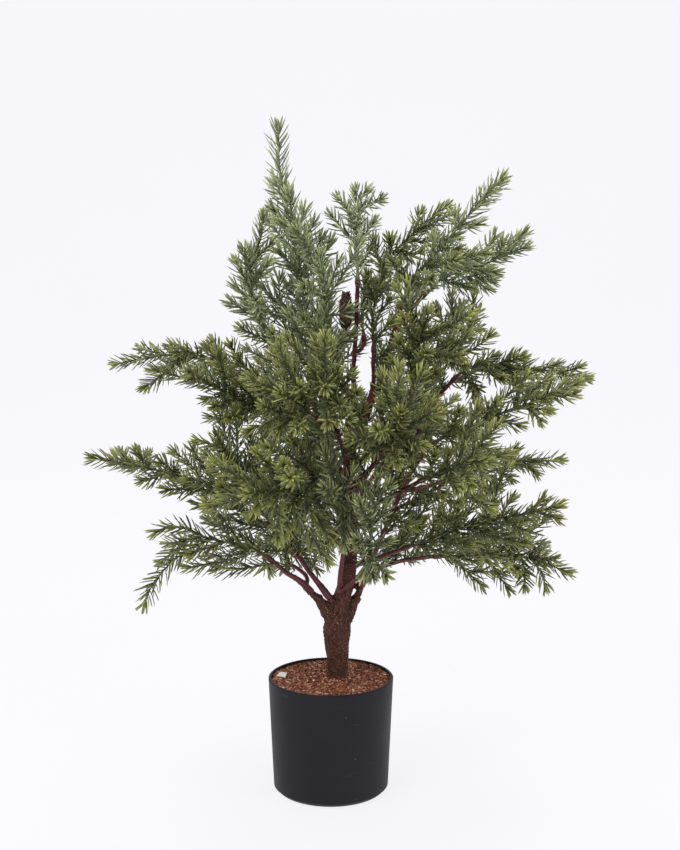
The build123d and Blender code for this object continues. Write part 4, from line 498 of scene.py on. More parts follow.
    "front_right_spray": """
50.3 -75.5 334.3, 54.8 -112.1 351.4, 56 -133.8 361.4
52.3 -91.2 341.6, 83.9 -122.7 361.7
51.2 -82.4 337.5, 44.9 -95.3 351.5, 42.4 -104 361
52.3 -91.2 341.6, 38.8 -141.4 350
52.3 -91.2 341.6, 60.3 -90 352.3, 64.4 -91.2 358, 71.1 -95.8 367, 72.6 -97.5 369
50.3 -75.1 334.1, 37.2 -80.6 336.5, 30.3 -91.4 344.1
51.2 -82.4 337.5, 63.5 -104.3 338.9, 71.1 -116.1 336.8
51.2 -82.4 337.5, 51.2 -105.6 329.5, 53.5 -125.5 324.1
51.2 -82.4 337.5, 34 -109.1 328.5
52.3 -91.2 341.6, 57 -90.2 359.2, 57.7 -90 368.2
""",
    "back_left_spray": """
-35.2 92.6 330.9, -47.6 114.6 336.6, -75.5 158.6 346.3
-37.5 96.7 331.9, -53.5 120.3 326.1, -67.1 142.8 316
-37.5 96.7 331.9, -42.6 114.9 357.1
-51 119.9 337.8, -55 138.7 350.6, -60.5 152.9 360.3
-37.5 96.7 331.9, -57.4 107.2 308
-57.5 130.3 340, -74.4 132.9 331
-34.9 92.2 330.7, -25 93.2 344.5, -24.2 99.6 355.9
""",
    "back_right_spray": """
83.4 92.6 323.2, 102.9 124.9 332, 123.5 158.6 343.5
85.6 96.3 324.2, 116 142.6 312.5
85.6 96.3 324.2, 90.7 116.3 347.4
96.3 114 329, 101 136.6 343.2, 108.4 156.6 354.4
83.2 92.2 323, 106.4 111 299.7
105.8 129.7 333.6, 125.9 130 334.4
83.2 92.2 323, 71.9 101.9 346.2
""",
    "back_top_spray": """
6.4 63.7 388.4, -7 102.7 438.7
6.5 63.4 388, -14.4 90.1 411.7
1.7 77.6 406.2, 11.3 97.3 415.4, 16.8 112.7 425
6.5 63.4 388, 18 72.9 396.4, 27.5 79.7 404.5
-2.6 90 422.4, -12.9 83.5 435.1, -17.8 79.6 443
-0.4 83.6 414.1, -9.2 106.1 424.4, -10.9 118.2 431
4.8 68.5 394.6, 10 97.8 402.7, 11.9 121.4 409.8
""",
    "back_low_spray": """
-1.5 91.4 265.6, -9.6 127.1 271, -18 155.5 274.4
-3 97.8 266.6, 18.9 142.1 277.6
-1.4 90.9 265.5, -27.8 132.4 259.4
-1.4 90.9 265.5, 28 113.9 257.2
-1.4 90.9 265.5, -16.8 95.6 252.7, -28 105.3 242.5
-9.5 126.5 270.9, 3.6 160.3 285.9
-1.4 90.9 265.5, 28.2 100.9 238.2
-4.9 106.5 267.9, -21.1 127.9 271.8, -31.8 143 276.9
""",
}

# Extra twigs that fill in each spray and the wire below it.
FILL_TWIGS = {
    "back_left_spray": """
-10.3 53.7 308.5, -15.9 76.8 305.8, -23.8 103.6 305.4
-22 72 320.7, -16.3 95.2 318.1, -13 121.8 317.9
-4.7 44.2 302.4, -0.9 67.6 306.6, 0.9 94.6 313.1
-26.2 78 324.6, -16.1 99.2 329.7, -8.4 123.8 337.1
3.8 27.6 292.4, 10.8 49.1 300.4, 16 74.5 310.6
-1.2 37.8 298.3, -10.5 59.4 293.7, -21.9 84.7 291.5
-38.3 98.1 332.3, -33.7 121.4 335.9, -31.5 148.8 340.5
-59.4 133.2 340.7, -82.1 141.1 340.3, -107.3 152.9 340.9
-50.8 119.7 337.7, -69.1 127.2 351.3, -89.9 138.8 365.8
-63.7 140 342.2, -81.2 147.9 356.6, -101.2 159.7 371.9
-14.1 59.8 312.6, -27.5 63.4 332.2, -43 70.5 354.2
-42.4 105.4 334.2, -56.8 107.3 353.3, -73.5 113.3 373.5
-17.9 66 316.7, -41.3 70.3 313.5, -67 78 312.5
-55.1 126.4 339.2, -59.3 134.2 361.5, -66 145.9 384.7
-46.6 112.8 336.1, -70.5 113.5 338, -96.7 118.2 341
""",
    "back_low_spray": """
2 74.5 261.7, -5.1 91.8 246.7, -13 113.7 233.2
9.7 29 244.7, 22.8 47.3 236.5, 35.3 70.1 229.8
-3.8 101.3 267.1, -5.6 121.8 254.8, -8.5 147 243.1
-6.4 113.2 268.9, -15.8 127.6 285.7, -26.3 146.6 303.1
3.5 67 259.1, 13.1 83.8 273.4, 21.9 105 289.1
6.7 48 252, -11.1 62.2 259.4, -29.7 80.8 268.6
-8.2 121.2 270.1, 3.1 138.7 258.3, 13.4 160.9 247.2
8 40.3 249, 7.6 59.7 234.9, 6.5 83.6 222.5
-12.6 137.2 272.2, -29.9 147.1 258.8, -48.5 161.5 245.9
5.5 55.7 255.1, 23.2 71.9 256.2, 40.1 92.6 259
-16.8 95.6 252.7, -9.4 95.6 221.9, -2.5 95.6 195.7
""",
    "back_right_spray": """
46.2 49.4 291.4, 47.5 72.8 286, 51.3 99.2 283.2
64.5 70.2 309.2, 75.1 89.3 299, 88.5 111.2 291.3
33.7 32.5 276.4, 29.6 56.1 274.8, 27.6 82.9 276
52.8 57.4 298.2, 61.3 59.8 320.6, 72.3 65.3 345.5
69.5 75.2 313.4, 82.7 82.3 332.1, 98.8 92.3 353.4
39.8 41.3 284.4, 59.8 43.2 297.5, 82 48.2 313.5
90.6 104.5 326.4, 86.8 128 329.8, 85.3 155.4 334.2
59.6 65.2 304.9, 80.1 64.5 317.4, 103.4 66.8 332.4
74.5 80.2 317.6, 97.4 87.4 318.1, 123.2 97.4 321
94.7 111.3 328.3, 89.5 132.5 318.2, 86.6 157.6 309.3
28.5 23.9 268.3, 46.5 39.6 270, 66.4 58.5 274.9
86.5 97.7 324.6, 77.6 114.3 339.5, 71.1 134.8 355.5
98.8 118.1 330.1, 118.8 124.5 318.5, 141.2 134.8 307.9
102.9 124.9 332, 103 133.3 354.5, 105.6 145.7 378.2
""",
    "back_top_spray": """
19.7 25.9 344.7, 25.9 48.9 347.3, 31.6 75.6 353.1
15.5 41.4 360.2, -0.9 44.6 377.5, -18.5 50.8 398.2
12.4 49.4 369.6, 1.6 70.4 373.9, -10.4 94.3 381.8
10.1 54.3 376.1, -9.7 62.1 387.3, -30.7 72.6 402.1
1.8 77.1 405.7, -4.7 100 402.6, -12.2 125.8 403.3
-4.1 94.2 427.7, -4.6 93.7 451.7, -6.1 96.1 479.4
17.5 35.9 354.1, 11.1 58.3 348.5, 3.7 84.1 346.3
-1.6 86.9 418.3, -24.1 92.2 424.6, -47.6 100.5 434.6
4.3 69.8 396.3, -15 66.5 410.1, -35.3 66.1 427.7
""",
    "crown_side": """
30.3 25.1 450.7, 38.5 46.7 457.1, 47.2 69.5 468.1
20.7 3.8 382.7, 6.6 19.1 394.7, -7.5 34.6 411.5
""",
    "crown_top": """
24.2 11.4 478.3, 30.7 25.3 485.5, 37.2 39.7 496.1
""",
    "front_left_spray": """
-37.6 -89.1 295.1, -45.5 -104.8 311.5, -55.8 -124.7 328
-50.1 -110.6 296.7, -71.6 -119.9 291.4, -95.5 -133.3 286.3
-18.1 -57.9 294.3, -41 -65.3 295.2, -66.4 -76.7 296.2
-6.5 -38.8 293.3, -18.3 -49.1 311.6, -31.9 -63.6 331
-54.3 -117.8 297.2, -71.6 -128.1 310.3, -91.4 -142.5 323.6
-41.8 -96.3 295.7, -65.4 -97.6 291.7, -91.5 -103.1 288
-46 -103.5 296.2, -42.2 -121.5 280.8, -40.9 -143.6 265.6
-22.5 -64.8 294.5, -43.1 -67.2 282.3, -66.2 -73.7 270.3
-26.8 -71.8 294.6, -32.1 -83.9 274.6, -39.9 -100.2 254.7
-3.2 -31.3 291.1, -15.7 -44.9 275.7, -29.9 -62.7 261.5
-32.3 -95.9 281.6, -16.5 -98.9 258, -2.4 -101.9 236.6
-25.9 -79.3 286.9, -11 -81.3 268.1, 0.8 -83.3 249.6
""",
    "front_low_right_spray": """
30.6 -52.7 219.5, 26.9 -56.9 231.2, 24.1 -62.7 244.9
34.3 -67.9 246.8, 32.5 -65.9 230.2, 29.1 -63.9 215.7
""",
    "front_low_spray": """
11.9 -38.3 239.3, -2.6 -57.3 241.7, -16.9 -79.2 248.1
11.5 -70.2 283.4, 3.4 -82.6 302.3, -4.3 -97.7 325.1
11.7 -65.3 276.6, 5.4 -64.3 299.8, -0.9 -66.1 326.8
11.6 -67.6 279.7, 12.6 -74.6 263.3, 10.9 -81.6 245.8
""",
    "front_right_spray": """
32.3 -34.1 298.4, 24.8 -52.7 311.5, 18.9 -74.6 327.7
43.6 -55.5 319.4, 29.9 -73.2 328.1, 17.9 -94.1 339.9
54.1 -106.6 348.8, 47.9 -118.5 368.7, 42.1 -134.7 390.6
54.9 -114.1 352.3, 63.4 -124.6 372.1, 72.3 -139.5 393.9
40.8 -50.1 314.1, 42.8 -53.3 337.8, 46.6 -59.7 364.7
47.8 -63.5 327.3, 65.3 -65.9 343.6, 84.4 -71.4 363
53.2 -99.3 345.4, 54.1 -102.2 369.2, 55.4 -109.4 395.1
55.3 -122 355.9, 54.2 -138 373.8, 53.3 -158.3 393.6
52.3 -92 342, 35.2 -108.7 340.8, 18.6 -129.8 341.7
35.1 -39.4 303.6, 48.8 -40.4 323.3, 64.2 -44.6 346.2
""",
    "leader_front": """
-2 -41.5 453.4, 11.5 -40.5 473.1, 24.8 -40.4 497.6
-8.7 -5.6 337.8, -9 5.8 358.9, -10.9 16.7 384.5
-2.7 -3.7 322, -23.9 -7.5 332.7, -46.9 -11.7 347.7
-8.7 -28.7 395.8, -22 -36.2 414.3, -34.9 -45 437.4
-13.9 -7.6 354.8, -34.3 -16.4 363.8, -55.5 -25.6 377.4
-2.6 -39.2 440.6, -5.7 -28.5 461.9, -8.2 -18.8 487.9
""",
    "leader_left": """
-34.1 -13.8 389.3, -52.4 0.8 394.8, -73.6 14.5 404
-28.7 -12.2 382.6, -27.4 0.3 403, -29.1 11.8 427.2
-45.9 -17.9 406.5, -58.6 -6.4 423.3, -73.9 4.1 444.1
-67.6 -28.3 455.9, -68.8 -10.8 472.3, -71.1 5.8 493.3
-58.9 -23.4 432, -66.3 -5.8 446.6, -75.6 10.8 465.5
""",
    "leader_top": """
-17.6 -9 427.4, -37.3 -10.4 441.1, -58.1 -11.9 459.5
-29.8 -11.3 491.7, -41.8 5.8 503.4, -54.7 22.7 519.9
-19.7 -9.2 435.3, -28.7 10 446.5, -38.8 29.2 462.4
-43.2 4.1 433.6, -51.3 13.9 436.4, -59.9 24.4 441.7
-38.3 -14.1 532.2, -43.3 -0.7 541.3, -48.9 12.6 553.7
-13.1 -8.6 401.6, -9.3 6.2 420.1, -5.6 20.9 443.5
-25.1 -9.9 459.2, -28.8 9.8 472.4, -33.1 29.3 490.3
""",
    "left_low_inner": """
-37.1 13.1 205.9, -42.2 24.4 202.1, -49.4 37.3 198.9
-40 32.1 222.6, -41.5 42.8 244.1, -42.2 56.9 268.8
-36.4 40.8 230.5, -37.2 64.1 225.1, -36.3 90.9 222.6
-40.6 28.8 219.5, -59.1 41.1 228.6, -77 56.7 241.1
-41.7 41.6 227.3, -29.3 38.6 215.2, -14.2 35.6 197.6
-44.8 25 219.3, -34.5 25 211.5, -23.3 25 205.8
""",
    "left_low_tip": """
-49 -30.6 217.7, -72.6 -30.5 213.5, -99.4 -32 212.5
-127 -26.1 237.3, -136.6 -30.3 229.5, -148.2 -32.9 221.1
-78.5 -35.6 234, -90.6 -40.2 254.2, -107.2 -45.3 276
-37.2 -24.4 206.1, -39.1 -34 228, -44.3 -45.6 252.8
-66.1 -34.1 229.3, -85.6 -21.7 223, -109.4 -9.9 219.1
""",
    "left_mid_side": """
-82 -39.5 303.7, -82.2 -24.2 322.2, -84.2 -10.2 344.9
-18.9 -8.9 204, -11.5 -14.9 226, -7 -20.5 251.9
-86.5 -42.7 314.7, -92.1 -26.9 331.9, -100.2 -12.4 352.9
-62.5 15.6 287.7, -69.1 26.8 289.2, -75.3 40.3 291.4
-55.8 -18.7 255.4, -52.1 -26.2 277.9, -50.6 -36.2 303.8
-68 -30.2 274.2, -63.1 -40.5 295.3, -60.5 -52.2 320.4
-29 -6.8 217.5, -28.4 -8.6 241.4, -30.7 -9.9 269.1
-42.3 -3.9 234, -50.1 13.4 248.6, -61.2 31.4 266.7
-34.1 -5.7 224.2, -56.9 1.3 222, -82.6 9 223.6
-79 -37.4 296.3, -66 -35.5 316.4, -54.7 -34.9 340.8
-76 -35.3 288.9, -98 -44.6 290.7, -122 -55.1 296.7
""",
    "left_mid_tip": """
-51.8 -1.9 242.9, -73.8 -9.8 248.1, -99.4 -16.9 256.5
-99.9 -5.6 270.7, -110.6 3.7 290, -125.4 12.7 311.9
-68.1 -2.7 252, -85.2 11.2 261.3, -106.6 24.8 272.9
-79 -3.7 258, -82.7 8.5 278.4, -90.5 20.2 301.3
-167.1 -11.6 299.7, -181.8 7.3 300.1, -201.2 25.8 301.6
-93 -4.9 266.4, -100.7 12.5 281, -112.4 29.6 298.1
-117.4 -7.1 281.2, -132.5 11.4 283.6, -151.6 29.5 288.5
""",
    "left_upper_side": """
-29.8 16.7 302.8, -33.9 38.4 312.1, -39.6 60.8 325.9
-102.6 -29.9 375.9, -124.3 -37.9 382.2, -149.2 -49 390.4
-40.2 20.4 341.4, -36.3 22.4 365, -33.5 24.8 393.2
-46.8 21.7 358, -49.3 26.4 381.4, -54.1 31.3 409
-17 12.2 272.1, -11.3 17.9 294.8, -7.8 24.3 321.6
-33.1 17.9 314.3, -48.7 29.7 328.3, -65.5 41.9 346.8
-92.1 -19.5 368.6, -92.4 -36.2 385.8, -95.8 -56 405.1
-9 9.4 258, -13.9 -1 279.1, -21.2 -10.5 304.2
-36.1 19 325.9, -34.4 34.6 344, -33.9 50.7 366.8
-60.2 9.8 355.3, -68.8 1.6 376.1, -81 -9.7 397.2
-13 10.9 264.8, -29.1 0.5 279.3, -47.7 -8.9 297.8
-20.9 13.5 280, -32.1 34 285.4, -45.4 55.2 295.1
-84.2 -11.7 363.1, -93.2 -18.3 384.3, -105.5 -27.9 407.4
-27.1 15.7 295.3, -18.6 19.4 317.5, -11.8 23.7 344.1
-44.8 21.4 353.7, -68.6 22 356.5, -94.5 23 363.6
""",
    "left_upper_tip": """
-67.8 23.7 380.3, -83.4 41.8 378.2, -102.8 60.4 378.9
-51.5 22.1 365.3, -58.1 43 375.1, -67.2 64.1 388.9
-94.2 25.9 392.6, -104.8 47.1 396.7, -120.1 68.6 401.8
-102.9 26.6 394.5, -116 45.4 387.5, -133.8 64.6 381.5
-132.2 28.8 397.7, -143.7 48.5 390.6, -160.1 68.7 383.6
""",
    "mid_right_back": """
110.3 23.5 431.2, 117.3 46.1 435.4, 125 71.7 443.3
108.6 18.2 425, 123.1 37.1 421.8, 138.4 59.1 422.2
124.2 -5.3 427.1, 128.2 6.4 431.2, 133 18.5 437.7
105.7 9.9 416, 110.4 32.3 408.9, 116.9 58 404.8
102.1 3.8 410.9, 92.9 25.7 414.5, 86 50.9 420.5
""",
    "mid_right_front": """
78 -76.1 427.4, 66.2 -91.6 441.4, 55.2 -110.3 458.8
66.2 -24.2 359, 76.9 -13.2 366.3, 89 -2.8 376.6
75.8 -67.6 418.6, 93.9 -80.8 427.2, 112.8 -97.3 439.3
70.4 -39.3 388.5, 75.8 -41 411.8, 81.2 -46 438.7
71.3 -50.6 401, 93 -57.5 408.6, 115.2 -67.7 419.6
74.3 -61.9 412.7, 69 -66.5 435.7, 64.6 -74.3 462
72.8 -56.3 406.9, 89.3 -73.5 404, 106.6 -94 404.6
44.5 -17.2 325.7, 67.1 -13.5 332.9, 92.6 -10.9 343.7
33.8 -12.2 313, 25.7 -22.1 333.3, 20.5 -33.6 357
""",
    "right_front_spray": """
109 -115.9 319.2, 118.3 -131 335.4, 130.3 -149.7 353.1
61.1 -61.3 287.5, 54.2 -80 300.8, 50.5 -101.6 316.4
66.6 -65.7 291.4, 84.1 -81.4 287, 105 -99.8 285
74.7 -72.2 297.3, 96.2 -77.1 306.8, 121 -84.5 318.6
50.4 -50.8 280, 60.4 -54.7 301.5, 73.4 -61.5 325.1
36.4 -34.2 269.2, 51.8 -51.8 263.6, 69.7 -72.7 260.1
97.2 -100.5 311.7, 120.2 -97.2 317.4, 146 -97.3 324.9
92.4 -94.4 308.7, 109.4 -105.1 295.5, 129.1 -119.3 284
104.3 -109.7 316.2, 110.2 -111 339.5, 118.8 -115.8 364.4
""",
    "right_high": """
116.7 30 476.9, 122.6 52.4 483.2, 132.9 75.9 491
149.3 38.1 485.6, 161.2 56.7 494.9, 177.4 76.4 506.1
129.1 33.1 479.7, 137.6 55.2 476.3, 150.7 78.5 473.7
""",
    "right_low_front_spray": """
57.5 -31.7 228.3, 70.2 -27.5 248.2, 87.2 -24.3 270.1
108.6 -61.3 260, 100.9 -71 264.1, 93.4 -82.7 269.9
117.1 -51.8 254.4, 139.7 -56 247.5, 166.5 -61.7 242.4
95.3 -43.9 244.2, 106.7 -44.1 265.3, 122.3 -45.8 288.3
124.4 -54.6 257.1, 147.5 -48.1 256.8, 174.9 -43.2 258
77.2 -37.7 236.5, 99.7 -41.6 228.9, 126.4 -46.9 223.1
135.5 -58.7 260.9, 140.4 -62.6 284, 149.5 -68.2 308.6
84.4 -40.1 239.4, 104.5 -27.5 235.6, 128.8 -16.3 233.5
109.8 -49.2 251, 127.6 -58.2 237.6, 149.5 -68.6 226.1
""",
    "right_low_spray": """
50.9 14.7 205.2, 57 37.4 210.1, 67.5 61.3 216.3
66.3 17.8 208.6, 76 39.6 207.2, 90.5 62.3 206.5
127.9 24.9 195.9, 138.8 32 195.2, 151.4 39.9 192.6
165.2 -1.1 218.7, 177.7 -8 238, 194.6 -16.6 257
152.7 9.3 199.2, 163.8 15.9 198.4, 176.5 22.5 195.4
43.6 12.3 202.8, 59.8 16.3 220, 80.1 21.8 239.2
82.1 19.8 210.6, 98.2 24.5 227.7, 119.2 29.8 245.3
126.6 12 214.6, 142.5 9.7 232.4, 163 5.9 250.9
149.4 4.7 218, 164.5 13.2 234.6, 184.1 20.2 251.5
74.2 18.9 209.7, 85.9 10.9 229.1, 102.4 3.4 248.9
114.9 15.6 213, 130 26.2 228.3, 149.7 35.5 244.1
58.5 16.4 207.1, 64.6 32.7 223.6, 75.3 49.9 241.2
""",
    "right_mid_spray": """
47.3 -12.9 240.3, 62.9 -21.6 256.3, 80.3 -31.1 276.7
52.1 -14.8 251.6, 60.2 3.3 265.2, 70.1 20.6 283.1
157.7 -54.8 358.3, 172.2 -39.1 369.2, 191.1 -24.7 381.8
132.2 -46.6 346, 146.6 -52.4 364.3, 165.2 -59.6 384.6
109.7 -39 335.9, 130.1 -35.8 323.8, 154.8 -34.2 313.3
80.6 -27.4 313.2, 83.7 -33.4 336.3, 89.3 -40.4 363.3
37.1 -8.3 214.2, 57 -4.9 227.2, 78.6 -2.3 244.7
169 -58.2 362.7, 189.4 -48 370.3, 214 -39.1 379.8
39.9 -9.6 221.6, 48 8.2 235.5, 57.8 25.2 253.8
56.4 -16.8 262.8, 77.4 -8 270.5, 100 0 282.7
102 -36.3 332.8, 124.2 -28.7 337.8, 150.4 -22.5 345
""",
    "right_side_spray": """
137.8 -9.3 298.2, 144.5 10.5 286.5, 155.5 32.5 275.7
163 3 302.1, 174 24 298.3, 189.4 46.9 294.4
116.4 -20.2 293.9, 119 -3.4 310.8, 125.8 15.6 328.6
127.1 -14.8 296, 133.1 -6.6 317.8, 143.3 3.7 340.4
""",
    "right_top": """
35.9 7.1 353.2, 43.5 27.2 363.9, 52.6 47.3 379.2
30.6 7.3 337.1, 47 6.1 354.6, 65 4.9 376.6
55.5 12.3 415.1, 59 33.8 425.3, 63.8 55.6 440.1
85.2 -8.9 482.5, 108.2 -15.2 485, 134.2 -23.4 490.6
40 7.7 364.6, 52.6 22.3 378.8, 66.9 37.3 397.4
43.9 8.6 376, 44.7 29.8 387.2, 47.2 51.4 403
80 -5.4 476.9, 102.8 1.7 479.6, 128.5 6.7 485.5
63.8 15.1 442, 74.3 35.2 449.9, 86.3 55.7 462.4
126.1 -25.8 530.5, 137.1 -6.6 539.8, 151.1 12.3 552.8
""",
    "right_upper_spray": """
101.5 9.8 367, 100.4 20.4 380.2, 101.5 31 396
123.5 -2.7 379.6, 127 -8.3 368.4, 131.2 -16.1 356.2
44.7 10 305.1, 68.5 10.1 307.6, 95.7 10.3 313.5
147.1 7 392, 166.2 11.9 378.4, 190.1 16.4 364.8
65 10.4 326.4, 69.3 20.9 347.6, 76.9 31.4 372.2
56.3 10.5 317.1, 73.2 24.9 326.2, 93.4 39.4 338.8
35.8 9.4 296.2, 43.1 24.2 313.6, 53.9 39.4 334.3
168.8 4.8 389.8, 182.6 23 382.4, 201 40.7 374.2
107 9.7 373.3, 121.5 28.3 377.8, 139.1 46.8 386
151.9 6.6 391.8, 169 -1.4 377, 190.9 -9.7 361.9
82.2 10.2 345.1, 87.2 29.8 358.1, 95.3 49.3 374.6
87.7 10.1 351.4, 80.9 11.2 374.4, 77.3 12.2 401
138.3 7.7 391.3, 153.1 26.3 387.5, 172.6 44.4 384.3
""",
    "upper_centre_spray": """
38.2 -13.8 381.8, 48.4 3.2 395.3, 58.7 19.9 413.7
43.3 4.5 456.3, 52.2 26.5 460.2, 62.4 49.9 468.5
67.4 20.3 501.6, 89 30.8 502.2, 114 42.5 506
79.4 24.5 512.7, 93.2 43.2 518.6, 110.5 63.1 527.7
36.2 -12.8 368.7, 51.5 -16.6 386.8, 68.2 -20.6 409.5
37.8 -14.5 395.4, 57.9 -10.2 407.8, 78.1 -6.2 425
47.7 9.5 471.1, 49.1 32.8 476.8, 51.8 57.6 486.9
""",
    "upper_front_centre": """
7.6 -35.1 331.9, 18.1 -53.4 343.4, 27.7 -74.8 358.3
-0.6 -129.1 359.4, 7.2 -139.5 360.1, 14.9 -152.4 360.2
1.5 -60 361.1, 1.8 -66 384.3, 1.6 -75 411.3
-4.5 -111.8 383.9, -3.7 -127.3 402.1, -3.2 -147.6 421.2
5.1 -43.6 340.8, -11.7 -48.8 357.1, -29.5 -57.2 376.9
-0.5 -79.7 372.7, -5.3 -90.9 393.4, -10.5 -106.5 415.9
9.2 -29.5 325.9, -10.6 -28.4 339.3, -31.5 -30.5 356.1
3.7 -49.1 347.3, -5.4 -49.4 369.5, -15.4 -52.8 395.3
-3.4 -103.7 381.6, -18.1 -108.6 399.9, -33.5 -118 419.8
""",
    "upper_front_left": """
-22 -114.6 374.8, -30.6 -126 394.1, -39.4 -141.7 415.3
-20.9 -88.7 363.7, -32.7 -93.3 384, -44.7 -102.3 406.3
-21.5 -103.5 370, -41.9 -112.8 378.6, -62.5 -126.4 389.2
""",
}


def read_paths(text):
    """The paths of a text table, each an array of points."""
    return [np.array([point.split() for point in line.split(",")], float)
            for line in text.strip().replace(",\n", ",").splitlines()]


def read_joints(text):
    """Spray name to (stem, foot, mouth, direction, reach)."""
    joints = {}
    for line in text.strip().splitlines():
        spray, stem, *columns = line.split(",")
        foot, mouth, direction, reach = (np.array(c.split(), float) for c in columns)
        joints[spray] = (stem.strip(), foot, mouth, direction, reach[0])
    return joints


STEM_PATHS = {name: read_paths(text) for name, text in STEMS.items()}
SPRAY_JOINTS = read_joints(JOINTS)


# ---- curves and meshes ---------------------------------------------------------------------
def unit(v):
    v = np.asarray(v, float)
    size = np.linalg.norm(v, axis=-1, keepdims=True)
    return v / np.where(size < 1e-12, 1, size)


def blend(first, second, amount):
    return first * (1 - amount) + second * amount


def arc(path):
    """Distance along the path at each of its points."""
    return np.r_[0.0, np.cumsum(np.linalg.norm(np.diff(path, axis=0), axis=1))]


def sample(path, along, at):
    """The path's x, y, z at the distances at."""
    return np.c_[tuple(np.interp(at, along, path[:, axis]) for axis in range(3))]


def smooth_path(points, step):
    """A centripetal Catmull-Rom curve through the points, resampled about every step."""
    points = np.asarray(points, float)
    if len(points) == 2:
        length = np.linalg.norm(points[1] - points[0])
        t = np.linspace(0, 1, max(2, int(round(length / step)) + 1))[:, None]
        return points[0] + (points[1] - points[0]) * t
    padded = np.vstack([2 * points[0] - points[1], points, 2 * points[-1] - points[-2]])
    dense = []
    for i in range(1, len(padded) - 2):
        p0, p1, p2, p3 = padded[i - 1:i + 3]
        gap0, gap1, gap2 = (max(np.linalg.norm(b - a), 1e-6) ** 0.5
                            for a, b in ((p0, p1), (p1, p2), (p2, p3)))
        t0, t1, t2, t3 = 0.0, gap0, gap0 + gap1, gap0 + gap1 + gap2
        count = max(3, int(np.linalg.norm(p2 - p1) / 0.6))
        for t in np.linspace(t1, t2, count, endpoint=False):
            a1 = (t1 - t) / (t1 - t0) * p0 + (t - t0) / (t1 - t0) * p1
            a2 = (t2 - t) / (t2 - t1) * p1 + (t - t1) / (t2 - t1) * p2
            a3 = (t3 - t) / (t3 - t2) * p2 + (t - t2) / (t3 - t2) * p3
            b1 = (t2 - t) / (t2 - t0) * a1 + (t - t0) / (t2 - t0) * a2
            b2 = (t3 - t) / (t3 - t1) * a2 + (t - t1) / (t3 - t1) * a3
            dense.append((t2 - t) / (t2 - t1) * b1 + (t - t1) / (t2 - t1) * b2)
    dense.append(points[-1])
    dense = np.array(dense)
    along = arc(dense)
    count = max(2, int(round(along[-1] / step)) + 1)
    return sample(dense, along, np.linspace(0, along[-1], count))


def frames(path):
    """Tangent, side and up at each point, carried along without twisting."""
    tangents = unit(np.gradient(path, axis=0))
    steep = abs(tangents[0, 2]) >= 0.9
    reference = np.array([0, -1.0, 0]) if steep else np.array([0, 0, 1.0])
    sides = np.zeros_like(path)
    side = unit(np.cross(tangents[0], reference))
    for i, tangent in enumerate(tangents):
        side = unit(side - tangent * (side @ tangent))
        sides[i] = side
    return tangents, sides, np.cross(sides, tangents)


class Sheet:
    """Gathers vertices, faces and a colour for each vertex, then makes one mesh object."""

    def __init__(self):
        self.verts, self.quads, self.tris, self.colours, self.count = [], [], [], [], 0

    def add(self, verts, colour, quads=(), tris=()):
        verts = np.asarray(verts, float).reshape(-1, 3)
        colour = np.asarray(colour, float)
        if colour.ndim == 1:
            colour = np.tile(colour, (len(verts), 1))
        self.verts.append(verts)
        self.colours.append(colour)
        for store, faces in ((self.quads, quads), (self.tris, tris)):
            if len(faces):
                store.append(np.asarray(faces, np.int64) + self.count)
        self.count += len(verts)

    def object(self, name, material, smooth=True):
        verts = np.vstack(self.verts) * MM
        quads = np.vstack(self.quads) if self.quads else np.zeros((0, 4), np.int64)
        tris = np.vstack(self.tris) if self.tris else np.zeros((0, 3), np.int64)
        mesh = bpy.data.meshes.new(name)
        mesh.vertices.add(len(verts))
        mesh.vertices.foreach_set("co", verts.ravel())
        mesh.loops.add(quads.size + tris.size)
        corners = np.r_[quads.ravel(), tris.ravel()].astype(np.int32)
        mesh.loops.foreach_set("vertex_index", corners)
        mesh.polygons.add(len(quads) + len(tris))
        starts = np.r_[np.arange(len(quads)) * 4, quads.size + np.arange(len(tris)) * 3]
        mesh.polygons.foreach_set("loop_start", starts.astype(np.int32))
        totals = np.r_[np.full(len(quads), 4), np.full(len(tris), 3)]
        mesh.polygons.foreach_set("loop_total", totals.astype(np.int32))
        mesh.update(calc_edges=True)
        mesh.validate()
        colours = np.c_[np.vstack(self.colours), np.ones(len(verts))]
        tint = mesh.color_attributes.new("tint", "FLOAT_COLOR", "POINT")
        tint.data.foreach_set("color", colours.ravel().astype(np.float32))
        mesh.polygons.foreach_set("use_smooth", np.full(len(mesh.polygons), smooth))
        mesh.materials.append(material)
        ob = bpy.data.objects.new(name, mesh)
        bpy.context.scene.collection.objects.link(ob)
        return ob


